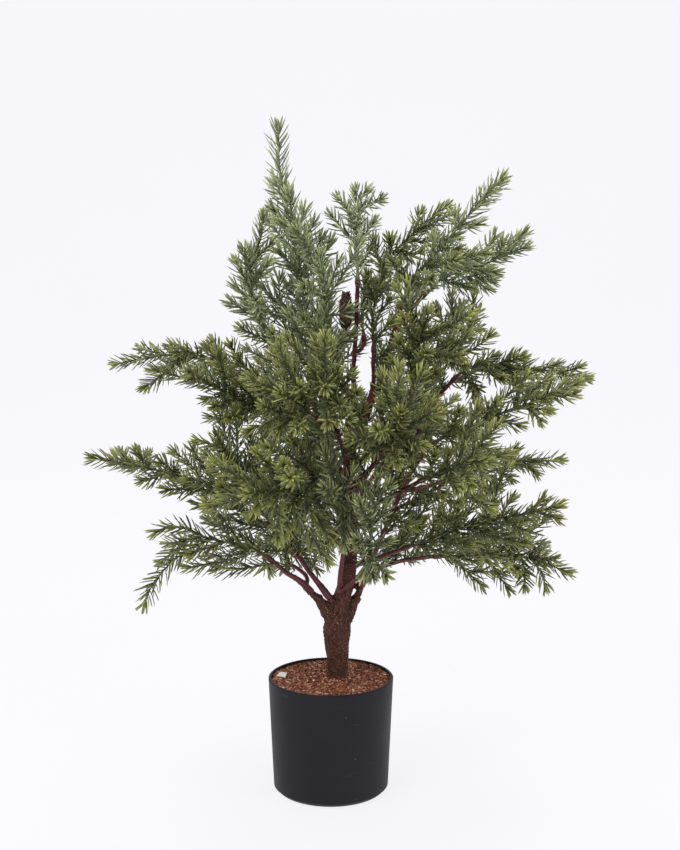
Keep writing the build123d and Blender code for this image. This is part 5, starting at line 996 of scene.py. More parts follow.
def tube(sheet, path, radius, sides, colour, bumps=None):
    """A round tube with shallow pointed ends; radius is given at each point of the path."""
    tangent, side, up = frames(path)
    angle = np.linspace(0, 2 * np.pi, sides, endpoint=False)
    ring = (np.cos(angle)[None, :, None] * side[:, None, :]
            + np.sin(angle)[None, :, None] * up[:, None, :])
    radius = np.repeat(np.asarray(radius, float)[:, None], sides, axis=1)
    if bumps is not None:
        radius += bumps(arc(path)[:, None], angle[None, :])
    verts = path[:, None, :] + ring * radius[:, :, None]
    count = len(path)
    i, j = np.meshgrid(np.arange(count - 1), np.arange(sides), indexing="ij")
    k = (j + 1) % sides
    quads = np.stack([i * sides + j, i * sides + k, (i + 1) * sides + k, (i + 1) * sides + j], -1)
    colour = np.asarray(colour, float)
    if colour.ndim == 2:
        colour = np.repeat(colour, sides, axis=0)
    else:
        colour = np.tile(colour, (count * sides, 1))
    ends = np.vstack([path[0] - tangent[0] * radius[0].mean() * 0.35,
                      path[-1] + tangent[-1] * radius[-1].mean() * 0.35])
    first_end, last_end, last_ring = count * sides, count * sides + 1, (count - 1) * sides
    j = np.arange(sides)
    k = (j + 1) % sides
    tris = np.vstack([np.stack([np.full(sides, first_end), k, j], -1),
                      np.stack([np.full(sides, last_end), last_ring + j, last_ring + k], -1)])
    sheet.add(np.vstack([verts.reshape(-1, 3), ends]),
              np.vstack([colour, colour[:1], colour[-1:]]), quads.reshape(-1, 4), tris)


def place(ob, part, replaces=True):
    """Let the object ride the part's body, and stand in for the part if it replaces it."""
    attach(ob, BODY[part])
    if replaces:
        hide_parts(part)


# ---- materials -----------------------------------------------------------------------------
class Shader:
    """A material under construction, with short ways to add nodes."""

    def __init__(self, name):
        self.material = bpy.data.materials.new(name)
        self.material.use_nodes = True
        self.tree = self.material.node_tree
        self.tree.nodes.clear()
        output = self.node("ShaderNodeOutputMaterial")
        self.surface = self.node("ShaderNodeBsdfPrincipled")
        self.tree.links.new(self.surface.outputs[0], output.inputs[0])

    def node(self, kind, **values):
        """A new node; each value sets the input of that name, or else the property."""
        made = self.tree.nodes.new(kind)
        for key, value in values.items():
            if key in made.inputs:
                self.feed(made.inputs[key], value)
            else:
                setattr(made, key, value)
        return made

    def feed(self, socket, value):
        """Link the value to the socket if it is an output, else store it there."""
        if isinstance(value, bpy.types.NodeSocket):
            self.tree.links.new(value, socket)
        else:
            socket.default_value = value

    def set(self, name, value):
        self.feed(self.surface.inputs[name], value)

    def coords(self):
        return self.node("ShaderNodeTexCoord").outputs["Object"]

    def tint(self):
        return self.node("ShaderNodeAttribute", attribute_name="tint").outputs["Color"]

    def stretched(self, vector, scale):
        return self.node("ShaderNodeMapping", Scale=scale, Vector=vector).outputs[0]

    def noise(self, vector, scale, detail=4.0, roughness=0.55, distortion=0.0):
        return self.node("ShaderNodeTexNoise", Scale=scale, Detail=detail, Roughness=roughness,
                         Distortion=distortion, Vector=vector).outputs["Fac"]

    def cells(self, vector, scale):
        return self.node("ShaderNodeTexVoronoi", Scale=scale, Vector=vector).outputs["Distance"]

    def ramp(self, factor, *stops):
        """Colour ramp with (position, colour) stops."""
        made = self.node("ShaderNodeValToRGB")
        elements = made.color_ramp.elements
        while len(elements) < len(stops):
            elements.new(0.5)
        for element, (position, colour) in zip(elements, stops):
            element.position = position
            element.color = (*colour, 1.0)
        self.feed(made.inputs[0], factor)
        return made.outputs[0]

    def grey(self, factor, *stops):
        """Ramp with (position, value) stops."""
        return self.ramp(factor, *((position, (v, v, v)) for position, v in stops))

    def mix(self, factor, first, second, blend_type="MIX"):
        made = self.node("ShaderNodeMix", data_type="RGBA", blend_type=blend_type)
        for index, value in ((0, factor), (6, first), (7, second)):
            colour = (*value, 1.0) if isinstance(value, tuple) else value
            self.feed(made.inputs[index], colour)
        return made.outputs[2]

    def math(self, operation, first, second):
        made = self.node("ShaderNodeMath", operation=operation)
        self.feed(made.inputs[0], first)
        self.feed(made.inputs[1], second)
        return made.outputs[0]

    def bump(self, height, strength, distance):
        made = self.node("ShaderNodeBump", Strength=strength, Distance=distance, Height=height)
        self.set("Normal", made.outputs[0])


def needle_material():
    sh = Shader("needle_plastic")
    tint = sh.tint()
    vector = sh.coords()
    patches = sh.noise(vector, scale=140.0, detail=3.0)
    grain = sh.noise(vector, scale=1500.0, detail=3.0)
    shade = sh.ramp(patches, (0.3, (0.80, 0.82, 0.86)), (0.7, (1.16, 1.14, 1.04)))
    colour = sh.mix(1.0, tint, shade, "MULTIPLY")
    shade = sh.grey(grain, (0.35, 0.80), (0.65, 1.15))
    colour = sh.mix(0.5, colour, shade, "MULTIPLY")
    sh.set("Base Color", colour)
    sh.set("Roughness", sh.grey(patches, (0.2, 0.40), (0.8, 0.56)))
    sh.set("Specular IOR Level", 0.34)
    sh.bump(grain, strength=0.15, distance=0.0002)
    return sh.material


def stem_material():
    sh = Shader("stem_plastic")
    vector = sh.coords()
    patches = sh.noise(vector, scale=110.0)
    grain = sh.noise(vector, scale=900.0, detail=5.0, roughness=0.6)
    colour = sh.ramp(patches, (0.30, (0.034, 0.006, 0.008)), (0.52, (0.105, 0.013, 0.019)),
                     (0.78, (0.190, 0.028, 0.036)))
    # paler pink on convex edges: partly wear, partly painted highlight
    pointiness = sh.node("ShaderNodeNewGeometry").outputs["Pointiness"]
    edge_wear_and_highlight = sh.grey(pointiness, (0.50, 0.0), (0.56, 0.55))
    colour = sh.mix(edge_wear_and_highlight, colour, (0.27, 0.070, 0.075))
    shade = sh.ramp(grain, (0.3, (0.6, 0.6, 0.6)), (0.7, (1.3, 1.25, 1.25)))
    colour = sh.mix(0.45, colour, shade, "MULTIPLY")
    sh.set("Base Color", colour)
    sh.set("Roughness", sh.grey(grain, (0.3, 0.34), (0.7, 0.55)))
    sh.set("Specular IOR Level", 0.5)
    sh.bump(grain, strength=0.45, distance=0.0006)
    return sh.material


def bark_material():
    sh = Shader("bark")
    vector = sh.coords()
    patches = sh.noise(vector, scale=60.0)
    upright = sh.stretched(vector, (1.0, 1.0, 0.30))
    streak = sh.noise(upright, scale=420.0, detail=5.0, roughness=0.62, distortion=0.6)
    grain = sh.noise(vector, scale=620.0, detail=6.0, roughness=0.66)
    colour = sh.ramp(grain, (0.32, (0.012, 0.005, 0.004)), (0.46, (0.050, 0.017, 0.010)),
                     (0.60, (0.125, 0.042, 0.021)), (0.76, (0.300, 0.135, 0.070)))
    shade = sh.ramp(streak, (0.34, (0.30, 0.27, 0.26)), (0.52, (1.0, 1.0, 1.0)),
                    (0.70, (1.75, 1.55, 1.45)))
    colour = sh.mix(0.75, colour, shade, "MULTIPLY")
    maroon_cover = sh.grey(patches, (0.40, 0.0), (0.62, 0.55))
    colour = sh.mix(maroon_cover, colour, (0.085, 0.022, 0.018))
    # pale flecks, gathered in clusters
    fleck = sh.grey(sh.cells(vector, scale=520.0), (0.12, 1.0), (0.22, 0.0))
    cluster = sh.grey(sh.noise(vector, scale=95.0, detail=2.0), (0.46, 0.0), (0.54, 1.0))
    colour = sh.mix(sh.math("MULTIPLY", fleck, cluster), colour, (0.46, 0.28, 0.17))
    sh.set("Base Color", colour)
    sh.set("Roughness", sh.grey(grain, (0.3, 0.85), (0.75, 0.50)))
    sh.set("Specular IOR Level", 0.35)
    sh.bump(sh.math("ADD", streak, grain), strength=0.85, distance=0.0014)
    return sh.material


def sawdust_material():
    sh = Shader("sawdust")
    tint = sh.tint()
    grain = sh.noise(sh.coords(), scale=700.0, detail=6.0, roughness=0.7)
    shade = sh.ramp(grain, (0.30, (0.42, 0.38, 0.36)), (0.55, (1.0, 1.0, 1.0)),
                    (0.75, (1.7, 1.7, 1.75)))
    sh.set("Base Color", sh.mix(1.0, tint, shade, "MULTIPLY"))
    sh.set("Roughness", 0.78)  # stored value, in force only if the link below is cut
    sh.set("Roughness", sh.grey(grain, (0.3, 0.9), (0.7, 0.6)))
    sh.set("Specular IOR Level", 0.3)
    sh.bump(grain, strength=0.6, distance=0.0008)
    return sh.material


def cone_material():
    sh = Shader("cone_scales")
    tint = sh.tint()
    grain = sh.noise(sh.coords(), scale=800.0, detail=5.0, roughness=0.6)
    shade = sh.ramp(grain, (0.3, (0.55, 0.5, 0.5)), (0.7, (1.5, 1.4, 1.35)))
    sh.set("Base Color", sh.mix(1.0, tint, shade, "MULTIPLY"))
    sh.set("Roughness", sh.grey(grain, (0.3, 0.65), (0.7, 0.45)))
    sh.bump(grain, strength=0.4, distance=0.0005)
    return sh.material


def pot_material():
    sh = Shader("pot_plastic")
    vector = sh.coords()
    cloud = sh.noise(vector, scale=22.0)
    grain = sh.noise(vector, scale=2200.0, detail=3.0)
    colour = sh.ramp(cloud, (0.30, (0.0066, 0.0064, 0.0092)), (0.70, (0.0100, 0.0096, 0.0134)))
    # dust specks, gathered in clusters
    speck = sh.grey(sh.cells(vector, scale=130.0), (0.030, 1.0), (0.060, 0.0))
    cluster = sh.grey(sh.noise(vector, scale=48.0, detail=2.0), (0.56, 0.0), (0.62, 1.0))
    colour = sh.mix(sh.math("MULTIPLY", speck, cluster), colour, (0.16, 0.15, 0.13))
    # faint scuffs running round the pot
    level = sh.stretched(vector, (14.0, 14.0, 160.0))
    scuff = sh.noise(level, scale=1.0, detail=5.0, roughness=0.7, distortion=0.4)
    colour = sh.mix(sh.grey(scuff, (0.64, 0.0), (0.72, 0.35)), colour, (0.060, 0.060, 0.062))
    sh.set("Base Color", colour)
    sh.set("Roughness", sh.grey(cloud, (0.3, 0.50), (0.7, 0.62)))
    sh.set("Specular IOR Level", 0.24)
    sh.bump(grain, strength=0.10, distance=0.0002)
    return sh.material


def mottled_material(name, dark, light, scale, roughness, metallic=0.0):
    sh = Shader(name)
    grain = sh.noise(sh.coords(), scale=scale, detail=6.0, roughness=0.65)
    sh.set("Base Color", sh.ramp(grain, (0.3, dark), (0.7, light)))
    sh.set("Roughness", sh.grey(grain, (0.3, roughness), (0.7, roughness - 0.15)))
    sh.set("Metallic", metallic)
    sh.bump(grain, strength=0.4, distance=0.001)
    return sh.material


NEEDLE_MAT = needle_material()
STEM_MAT = stem_material()
BARK_MAT = bark_material()
SAWDUST_MAT = sawdust_material()
CONE_MAT = cone_material()
POT_MAT = pot_material()
CEMENT_MAT = mottled_material("cement", dark=(0.30, 0.29, 0.27), light=(0.52, 0.50, 0.47),
                              scale=160.0, roughness=0.9)
STEEL_MAT = mottled_material("steel", dark=(0.40, 0.40, 0.41), light=(0.58, 0.58, 0.58),
                             scale=300.0, roughness=0.45, metallic=1.0)

# ---- pot, ballast and rod keep their CAD shapes --------------------------------------------
for part, cad_material in (("pot", POT_MAT), ("cement_ballast", CEMENT_MAT),
                           ("trunk_rod", STEEL_MAT)):
    NODES[part].data.materials.clear()
    NODES[part].data.materials.append(cad_material)

# ---- sprays of needles ---------------------------------------------------------------------
DARK = np.array([0.034, 0.047, 0.022])
MID = np.array([0.165, 0.178, 0.040])
GREY = np.array([0.120, 0.150, 0.085])
TIP = np.array([0.440, 0.450, 0.100])
PALE = np.array([0.440, 0.500, 0.310])
TWIG_GREEN = np.array([0.080, 0.095, 0.045])
MAROON = np.array([0.105, 0.020, 0.026])
PALE_RING = np.array([0.30, 0.34, 0.27])

# how pale and how yellow-tipped each spray is
DEFAULT_TONE = (0.10, 1.0)
TONE = {
    "leader_top": (0.55, 0.9), "crown_top": (0.95, 0.5), "crown_side": (0.52, 0.8),
    "leader_front": (0.46, 0.9), "leader_left": (0.46, 0.9), "right_top": (0.38, 1.0),
    "right_high": (0.40, 1.0), "front_left_spray": (0.10, 1.5),
    "upper_front_left": (0.12, 1.3), "upper_front_centre": (0.12, 1.2),
    "front_low_spray": (0.32, 1.0), "front_low_right_spray": (0.36, 0.9),
    "right_front_spray": (0.1, 1.2), "front_right_spray": (0.12, 1.2),
}
# needle length factor of sprays with longer needles
LONG = {"leader_top": 1.24, "right_top": 1.06, "left_mid_tip": 1.06}
# how far the main rib stays maroon (10 by default) and bare of needles (8 by default)
MAROON_RUN = {"crown_top": 7.0, "crown_side": 12.0}
BARE_RUN = {"front_left_spray": 10.0, "crown_top": 5.0}
# sprays whose main rib starts in a pale ring instead of maroon
PALE_FOOT = ("front_low_spray", "front_left_spray")

# A needle is three diamond rings and a point: (share of length, share of width, shade).
NEEDLE_RINGS = ((0.0, 0.74, 0.62), (0.34, 1.0, 0.92), (0.78, 0.86, 1.12))
NEEDLE_POINT_SHADE = 1.45
NEEDLE_VERTS = 13
NEEDLE_PITCH = 1.12
TIP_NEEDLES = 7  # bunched at the end of each twig
TWIG_STEP = 1.5
TWIG_SIDES = 8


def needles(sheet, base, way, bend, face, length, width, thick, colour):
    """Slim pointed needles with a diamond section."""
    count = len(base)
    side = unit(np.cross(way, face))
    up = unit(np.cross(side, way))
    verts = np.zeros((count, NEEDLE_VERTS, 3))
    for i, (t, share, _) in enumerate(NEEDLE_RINGS):
        centre = base + length[:, None] * (way * t + bend * t * t)
        half_width = (width * share / 2)[:, None]
        half_thick = (thick * share / 2)[:, None]
        verts[:, 4 * i] = centre + side * half_width
        verts[:, 4 * i + 1] = centre + up * half_thick
        verts[:, 4 * i + 2] = centre - side * half_width
        verts[:, 4 * i + 3] = centre - up * half_thick
    verts[:, 12] = base + length[:, None] * (way + bend)
    quads = [(4 * i + j, 4 * i + (j + 1) % 4, 4 * i + 4 + (j + 1) % 4, 4 * i + 4 + j)
             for i in range(2) for j in range(4)]
    quads.append((3, 2, 1, 0))
    tris = [(8 + j, 8 + (j + 1) % 4, 12) for j in range(4)]
    offset = (np.arange(count) * NEEDLE_VERTS)[:, None, None]
    shade = np.array([ring[2] for ring in NEEDLE_RINGS for _ in range(4)]
                     + [NEEDLE_POINT_SHADE])
    colours = colour[:, None, :] * shade[None, :, None]
    sheet.add(verts.reshape(-1, 3), colours.reshape(-1, 3),
              (np.array(quads)[None] + offset).reshape(-1, 4),
              (np.array(tris)[None] + offset).reshape(-1, 3))


def rise(distance, span, low):
    """Climbs from low to 1 over the span."""
    return low + (1 - low) * (distance / span).clip(0, 1)


def needle_colours(rnd, left, tone, is_spine):
    """Dark and grey inside, yellow green towards the twig's end, left mm away."""
    pale, yellow = tone
    count = len(left)
    light = rnd.uniform(0, 1, count)[:, None]
    colour = blend(DARK, MID, light ** 0.8)
    greyed = rnd.uniform(0, 1, count)[:, None] < 0.24
    colour = np.where(greyed, GREY * (0.75 + 0.4 * light), colour)
    tip_strength = 0.38 if is_spine else 0.30
    tipness = np.exp(-left / 17.0) * tip_strength * yellow + rnd.uniform(-0.16, 0.30, count)
    colour = blend(colour, TIP, tipness.clip(0, 0.75)[:, None])
    colour = blend(colour, PALE * (0.38 + 0.98 * light), pale)
    return colour * rnd.normal(1.0, 0.20, count).clip(0.55, 1.6)[:, None]


def needle_row(sheet, path, rnd, start, tone, stretch, is_spine):
    """Needles round one twig, from the distance start along it to its tip."""
    along = arc(path)
    end = along[-1]
    if end - start < 4:
        return
    at = np.arange(start, end - 0.6, NEEDLE_PITCH)
    count = len(at)
    at = at + rnd.uniform(-0.25, 0.25, count)
    turn = np.arange(count) * GOLDEN_ANGLE + rnd.uniform(0, TURN) + rnd.normal(0, 0.22, count)
    at = np.r_[at, end - rnd.uniform(0.0, 1.8, TIP_NEEDLES)]
    turn = np.r_[turn, np.arange(TIP_NEEDLES) * GOLDEN_ANGLE + rnd.uniform(0, TURN)]
    count = len(at)
    centre = sample(path, along, at)
    tangent, side, up = (unit(sample(axis, along, at)) for axis in frames(path))
    left = end - at
    # needles lean out from the twig, and close up near its tip
    lean = np.radians(rnd.normal(49, 5.5, count)) * rise(left, span=11, low=0.58)
    out = np.cos(turn)[:, None] * side + np.sin(turn)[:, None] * up
    way = unit(np.cos(lean)[:, None] * tangent + np.sin(lean)[:, None] * out)
    length = rnd.normal(14.6, 1.1, count).clip(11.5, 16.8) * stretch
    length *= rise(left, span=10, low=0.76)
    length *= rise(at - start, span=10, low=0.62)
    bend = tangent * 0.20 + rnd.normal(0, 0.045, (count, 3))
    bend = bend - way * np.sum(bend * way, 1)[:, None]
    bend[:, 2] += 0.02
    face = unit(out + rnd.normal(0, 0.25, (count, 3)))
    width = rnd.normal(1.86, 0.14, count).clip(1.45, 2.25)
    colour = needle_colours(rnd, left, tone, is_spine)
    base = centre + out * 0.75 * 0.55  # 0.75 is the twig's radius; needles start inside it
    needles(sheet, base, way, bend, face, length, width, width * 0.56, colour)


def spray_object(name, seed):
    rnd = np.random.default_rng(seed)
    sheet = Sheet()
    tone = TONE.get(name, DEFAULT_TONE)
    stretch = LONG.get(name, 1.0)
    twig_colour = blend(TWIG_GREEN, PALE * 0.7, tone[0])
    _, _, mouth, direction, _ = SPRAY_JOINTS[name]

    def twig(path, radius, colour, bare, is_spine=False):
        colour = colour * rnd.normal(1, 0.06, (len(path), 1))
        tube(sheet, path, radius, TWIG_SIDES, colour)
        needle_row(sheet, path, rnd, bare, tone, stretch, is_spine)

    spine, *side_ribs = [np.vstack([rib, rib[-1] + unit(rib[-1] - rib[-2]) * 4.0])
                         for rib in read_paths(RIBS[name])]
    path = smooth_path(np.vstack([mouth, mouth + direction * 5.0, spine]), TWIG_STEP)
    along = arc(path)
    radius = 1.35 - 0.65 * (along / along[-1]) + 1.25 * np.exp(-((along / 7.5) ** 4))
    if name in PALE_FOOT:
        colour = blend(twig_colour, PALE_RING, np.exp(-((along / 5.0) ** 4))[:, None])
    else:
        fade = np.exp(-((along / MAROON_RUN.get(name, 10.0)) ** 2))[:, None]
        colour = blend(twig_colour, MAROON, fade)
    twig(path, radius, colour, BARE_RUN.get(name, 8.0), is_spine=True)

    fill = read_paths(FILL_TWIGS.get(name, ""))
    for paths, root_radius, taper in ((side_ribs, 0.95, 0.35), (fill, 0.85, 0.30)):
        for points in paths:
            path = smooth_path(points, TWIG_STEP)
            along = arc(path)
            twig(path, root_radius - taper * along / along[-1], twig_colour, bare=1.0)
    return sheet.object(name + "_needles", NEEDLE_MAT)


for i, name in enumerate(SPRAY_JOINTS):
    place(spray_object(name, seed=1000 + i), name)

# ---- branch stems: coated wire with leaf-scar knobs ----------------------------------------
# how much a stem swells towards its root
DEFAULT_SWELL = 0.75
SWELL = {"left_low_stem": 1.5, "left_mid_stem": 1.3, "right_mid_stem": 1.2,
         "right_low_stem": 1.2}


def knobs(rnd, length):
    """Random low knobs over a wire, as extra radius by distance along and angle round it."""
    count = int(length / 1.7) + 2
    knob_at = rnd.uniform(0, length, count)
    knob_angle = rnd.uniform(0, 2 * np.pi, count)
    height = rnd.uniform(0.10, 0.42, count)
    width = rnd.uniform(0.55, 1.15, count)

    def field(along, angle):
        total = np.zeros(np.broadcast(along, angle).shape)
        for i in range(count):
            turn = (angle - knob_angle[i] + np.pi) % (2 * np.pi) - np.pi
            spread = (along - knob_at[i]) ** 2 + (2.1 * turn) ** 2
            total += height[i] * np.exp(-spread / (2 * width[i] ** 2))
        return total

    return field


def noise_along(along, scale, y, z):
    return np.array([noise.noise(Vector((s * scale, y, z))) for s in along])


def stem_object(name, seed):
    rnd = np.random.default_rng(seed)
    sheet = Sheet()
    swell = SWELL.get(name, DEFAULT_SWELL)
    for k, points in enumerate(STEM_PATHS[name][1:]):
        path = smooth_path(points, 0.9)
        along = arc(path)
        # a slight wobble that dies out at both ends
        wobble_side = noise_along(along, 0.055, seed * 1.7, k * 3.1)
        wobble_up = noise_along(along, 0.055, seed * 2.3 + 40, k * 5.1)
        _, side, up = frames(path)
        fade = (np.minimum(along, along[-1] - along) / 12).clip(0, 1)[:, None]
        path = path + (side * wobble_side[:, None] + up * wobble_up[:, None]) * 0.55 * fade
        radius = (2.05 - 0.1 * k) * (1 - 0.10 * along / along[-1])
        radius = radius + 0.10 * noise_along(along, 0.22, seed, k)
        if k == 0:
            radius = radius + swell * np.exp(-((along / (10 + 8 * swell)) ** 2))
        tube(sheet, path, radius, 14, MAROON, knobs(rnd, along[-1]))
    # swollen joints where the sprays are pushed on
    for stem, foot, _, direction, reach in SPRAY_JOINTS.values():
        if stem == name:
            path = foot + direction * np.linspace(-1.2, reach, 6)[:, None]
            tube(sheet, path, np.linspace(2.15, 1.95, 6), 12, MAROON)
    return sheet.object(name + "_coated", STEM_MAT)


for i, name in enumerate(STEMS):
    place(stem_object(name, seed=300 + i), name)

# ---- trunk ---------------------------------------------------------------------------------
TRUNK_X = 5.8  # where the trunk leaves the sawdust

# trunk sections as (x, y, z, radius), lowest first
TRUNK_LOWER = [
    (5.8, 0, 86.3, 8.9), (5.8, 0, 100, 8.8), (5.6, 0, 115.7, 9.2), (5.6, 0, 133.7, 10.6),
    (5.7, 0, 149.6, 12.4), (6.6, 0, 163, 10.6)]
CENTRE_COLUMN = [
    (6.6, 0, 160.8, 9), (10.2, 0, 177.9, 7), (14.8, 0, 194.8, 6), (17.5, 0, 217.2, 5.4),
    (17.5, 0, 250.5, 5), (15.7, 0, 287.3, 4.7), (16.5, 0, 314.7, 4.3), (19.2, 2, 341.8, 3.6),
    (21, 3, 352.6, 3)]
LEFT_LIMB = [(2, 0, 157.3, 7.6), (-6.2, -4, 170.6, 5.1), (-12.5, -7, 180.7, 4.2)]
RIGHT_LIMB = [(13, 0, 159, 7.4), (20.3, 2, 171.8, 5), (24, 3, 178.1, 4.1)]
MIDDLE_LIMB = [(5.7, 0, 162, 7), (2, 0, 174.2, 4.6), (0.2, 0, 179.8, 3.9)]
# flare of glued sawdust at the foot
FOOT_FLARE = [(5.8, 0, 99, 12.2), (5.8, 0, 102, 11.4), (5.7, 0, 105, 9.8), (5.6, 0, 109, 8.4)]
# the centre column is thickened by these factors at these heights
THICKEN_Z = [165, 190, 255, 290]
THICKEN = [1.0, 1.2, 1.2, 1.04]


def trunk_bar(sheet, sections, thicken=False):
    sections = np.array(sections, float)
    path = smooth_path(sections[:, :3], 2.0)
    along, section_at = arc(path), arc(sections[:, :3])
    radius = np.interp(along / along[-1] * section_at[-1], section_at, sections[:, 3])
    if thicken:
        radius = radius * np.interp(path[:, 2], THICKEN_Z, THICKEN)
    tube(sheet, path, radius, 24, MAROON)


def trunk_knuckle(sheet, points):
    """A short bar to a stem's root, with a rounded end."""
    path = smooth_path(points, 1.2)
    tube(sheet, path, np.linspace(3.3, 2.75, len(path)), 14, MAROON)
    root = points[-1]
    way = unit(root - points[-2])
    end = root + way * np.linspace(-3.2, 1.5, 8)[:, None]
    round_off = np.sqrt(np.clip(1 - np.linspace(-0.60, 0.90, 8) ** 2, 0.05, 1))
    tube(sheet, end, 2.95 * round_off, 14, MAROON)


def knit(ob):
    """Fuse the object's overlapping tubes into one skin."""
    remesh = ob.modifiers.new("knit", "REMESH")
    remesh.mode = "VOXEL"
    remesh.voxel_size = 0.85 * MM
    depsgraph = bpy.context.evaluated_depsgraph_get()
    mesh = bpy.data.meshes.new_from_object(ob.evaluated_get(depsgraph))
    ob.modifiers.clear()
    ob.data = mesh
    mesh.materials.clear()
    mesh.materials.append(BARK_MAT)


def bark_relief(point):
    """Height of the bark: long ridges and lumps, strongest low down, plus fine grit."""
    x, y, z = point
    ridge = noise.noise(Vector((x * 0.42, y * 0.42, z * 0.050)))
    lump = noise.noise(Vector((x * 0.14 + 9, y * 0.14, z * 0.10)))
    grit = noise.noise(Vector((x * 1.1, y * 1.1, z * 0.9 + 4)))
    strength = min(1.0, max(0.14, (205 - z) / 45))
    return (1.45 * ridge + 0.8 * lump) * strength + 0.48 * grit


def roughen(mesh):
    """Smooth the skin a little and push the bark relief out along its normals."""
    bm = bmesh.new()
    bm.from_mesh(mesh)
    bmesh.ops.smooth_vert(bm, verts=bm.verts, factor=0.5,
                          use_axis_x=True, use_axis_y=True, use_axis_z=True)
    bm.normal_update()
    moves = [vert.normal * (bark_relief(vert.co * 1000) * MM) for vert in bm.verts]
    for vert, move in zip(bm.verts, moves):
        vert.co += move
    bm.to_mesh(mesh)
    bm.free()
    mesh.polygons.foreach_set("use_smooth", np.full(len(mesh.polygons), True))


def trunk_object():
    sheet = Sheet()
    trunk_bar(sheet, TRUNK_LOWER)
    trunk_bar(sheet, CENTRE_COLUMN, thicken=True)
    for limb in (LEFT_LIMB, RIGHT_LIMB, MIDDLE_LIMB):
        trunk_bar(sheet, limb)
    for knuckle, *_ in STEM_PATHS.values():
        trunk_knuckle(sheet, knuckle)
    flare = np.array(FOOT_FLARE, float)
    tube(sheet, flare[:, :3], flare[:, 3], 28, MAROON)
    ob = sheet.object("trunk_bark", BARK_MAT)
    knit(ob)
    roughen(ob.data)
    return ob


place(trunk_object(), "trunk")

# ---- sawdust topping -----------------------------------------------------------------------
SAW_RED = np.array([0.300, 0.085, 0.036])
SAW_TAN = np.array([0.520, 0.255, 0.140])
SAW_CREAM = np.array([0.740, 0.500, 0.350])
# dark bits of sawdust, also the painted shade in the gaps between chips and down the bed's hidden side
SAW_DARK_AND_GAP_SHADE = np.array([0.080, 0.022, 0.014])
SAW_WHITE = np.array([0.86, 0.85, 0.84])
BED_RADIUS = 54.2
BED_TOP = 103.1
BED_BOTTOM = 88.0
BED_RINGS, BED_SPOKES = 62, 260
CHIP_TRIES = 5200
# smaller cream flakes, as (x, y)
CREAM_FLAKES = ((-39.5, -12.0), (20.0, -36.0), (33.0, 18.0), (-12.0, -43.0))


def bed_height(x, y):
    """Slightly domed, heaped at the trunk, with noise that fades out at the rim."""
    r = math.hypot(x, y)
    base = BED_TOP - 0.9 * (r / BED_RADIUS) ** 2
    base += 1.6 * math.exp(-((math.hypot(x - TRUNK_X, y) / 15.0) ** 2))
    rough = (1.15 * noise.noise(Vector((x * 0.085, y * 0.085, 2.0)))
             + 0.55 * noise.noise(Vector((x * 0.33, y * 0.33, 7.0)))
             + 0.38 * noise.noise(Vector((x * 0.95, y * 0.95, 11.0))))
    return base + rough * min(1.0, (BED_RADIUS + 1.5 - r) / 5)


def bed_object():
    sheet = Sheet()
    verts, colours = [(0.0, 0.0, bed_height(0, 0))], [SAW_RED]
    for i in range(1, BED_RINGS + 1):
        r = BED_RADIUS * i / BED_RINGS
        for j in range(BED_SPOKES):
            angle = 2 * math.pi * (j + 0.5 * (i % 2)) / BED_SPOKES
            x, y = r * math.cos(angle), r * math.sin(angle)
            verts.append((x, y, bed_height(x, y)))
            patch = noise.noise(Vector((x * 0.5, y * 0.5, 21.0)))
            # dark patches of the bed are painted shade in the gaps between chips
            colours.append(SAW_RED * (0.75 + 0.6 * patch) if patch > -0.25 else SAW_DARK_AND_GAP_SHADE)
    rim = len(verts) - BED_SPOKES
    low = len(verts)
    verts += [(x, y, BED_BOTTOM) for x, y, _ in verts[rim:]]
    bottom = len(verts)
    verts.append((0, 0, BED_BOTTOM))
    # the bed's side and bottom, down inside the pot, are painted in shade
    colours += [SAW_DARK_AND_GAP_SHADE] * (BED_SPOKES + 1)
    around = [(j, (j + 1) % BED_SPOKES) for j in range(BED_SPOKES)]
    tris = [(0, 1 + j, 1 + k) for j, k in around]
    quads = []
    for i in range(BED_RINGS - 1):
        a, b = 1 + i * BED_SPOKES, 1 + (i + 1) * BED_SPOKES
        quads += [(a + j, b + j, b + k, a + k) for j, k in around]
    quads += [(rim + j, low + j, low + k, rim + k) for j, k in around]
    tris += [(bottom, low + k, low + j) for j, k in around]
    sheet.add(verts, np.array(colours), quads, tris)
    return sheet.object("sawdust_bed", SAWDUST_MAT)


def chip(sheet, x, y, lift, size, spin, tilt, colour, rnd):
    """A ragged block of the given size, lifted off the bed, spun and tilted."""
    size = np.array(size)
    corners = [(a, b, c) for a in (-1, 1) for b in (-1, 1) for c in (-1, 1)]
    box = np.array(corners, float) * size / 2
    box += rnd.uniform(-0.16, 0.16, (8, 3)) * size
    cos_s, sin_s, cos_t, sin_t = math.cos(spin), math.sin(spin), math.cos(tilt), math.sin(tilt)
    about_z = np.array([[cos_s, -sin_s, 0], [sin_s, cos_s, 0], [0, 0, 1]])
    about_x = np.array([[1, 0, 0], [0, cos_t, -sin_t], [0, sin_t, cos_t]])
    verts = box @ (about_z @ about_x).T + np.array([x, y, bed_height(x, y) + lift])
    quads = [(0, 1, 3, 2), (4, 6, 7, 5), (0, 4, 5, 1), (2, 3, 7, 6), (0, 2, 6, 4), (1, 5, 7, 3)]
    sheet.add(verts, colour, quads)


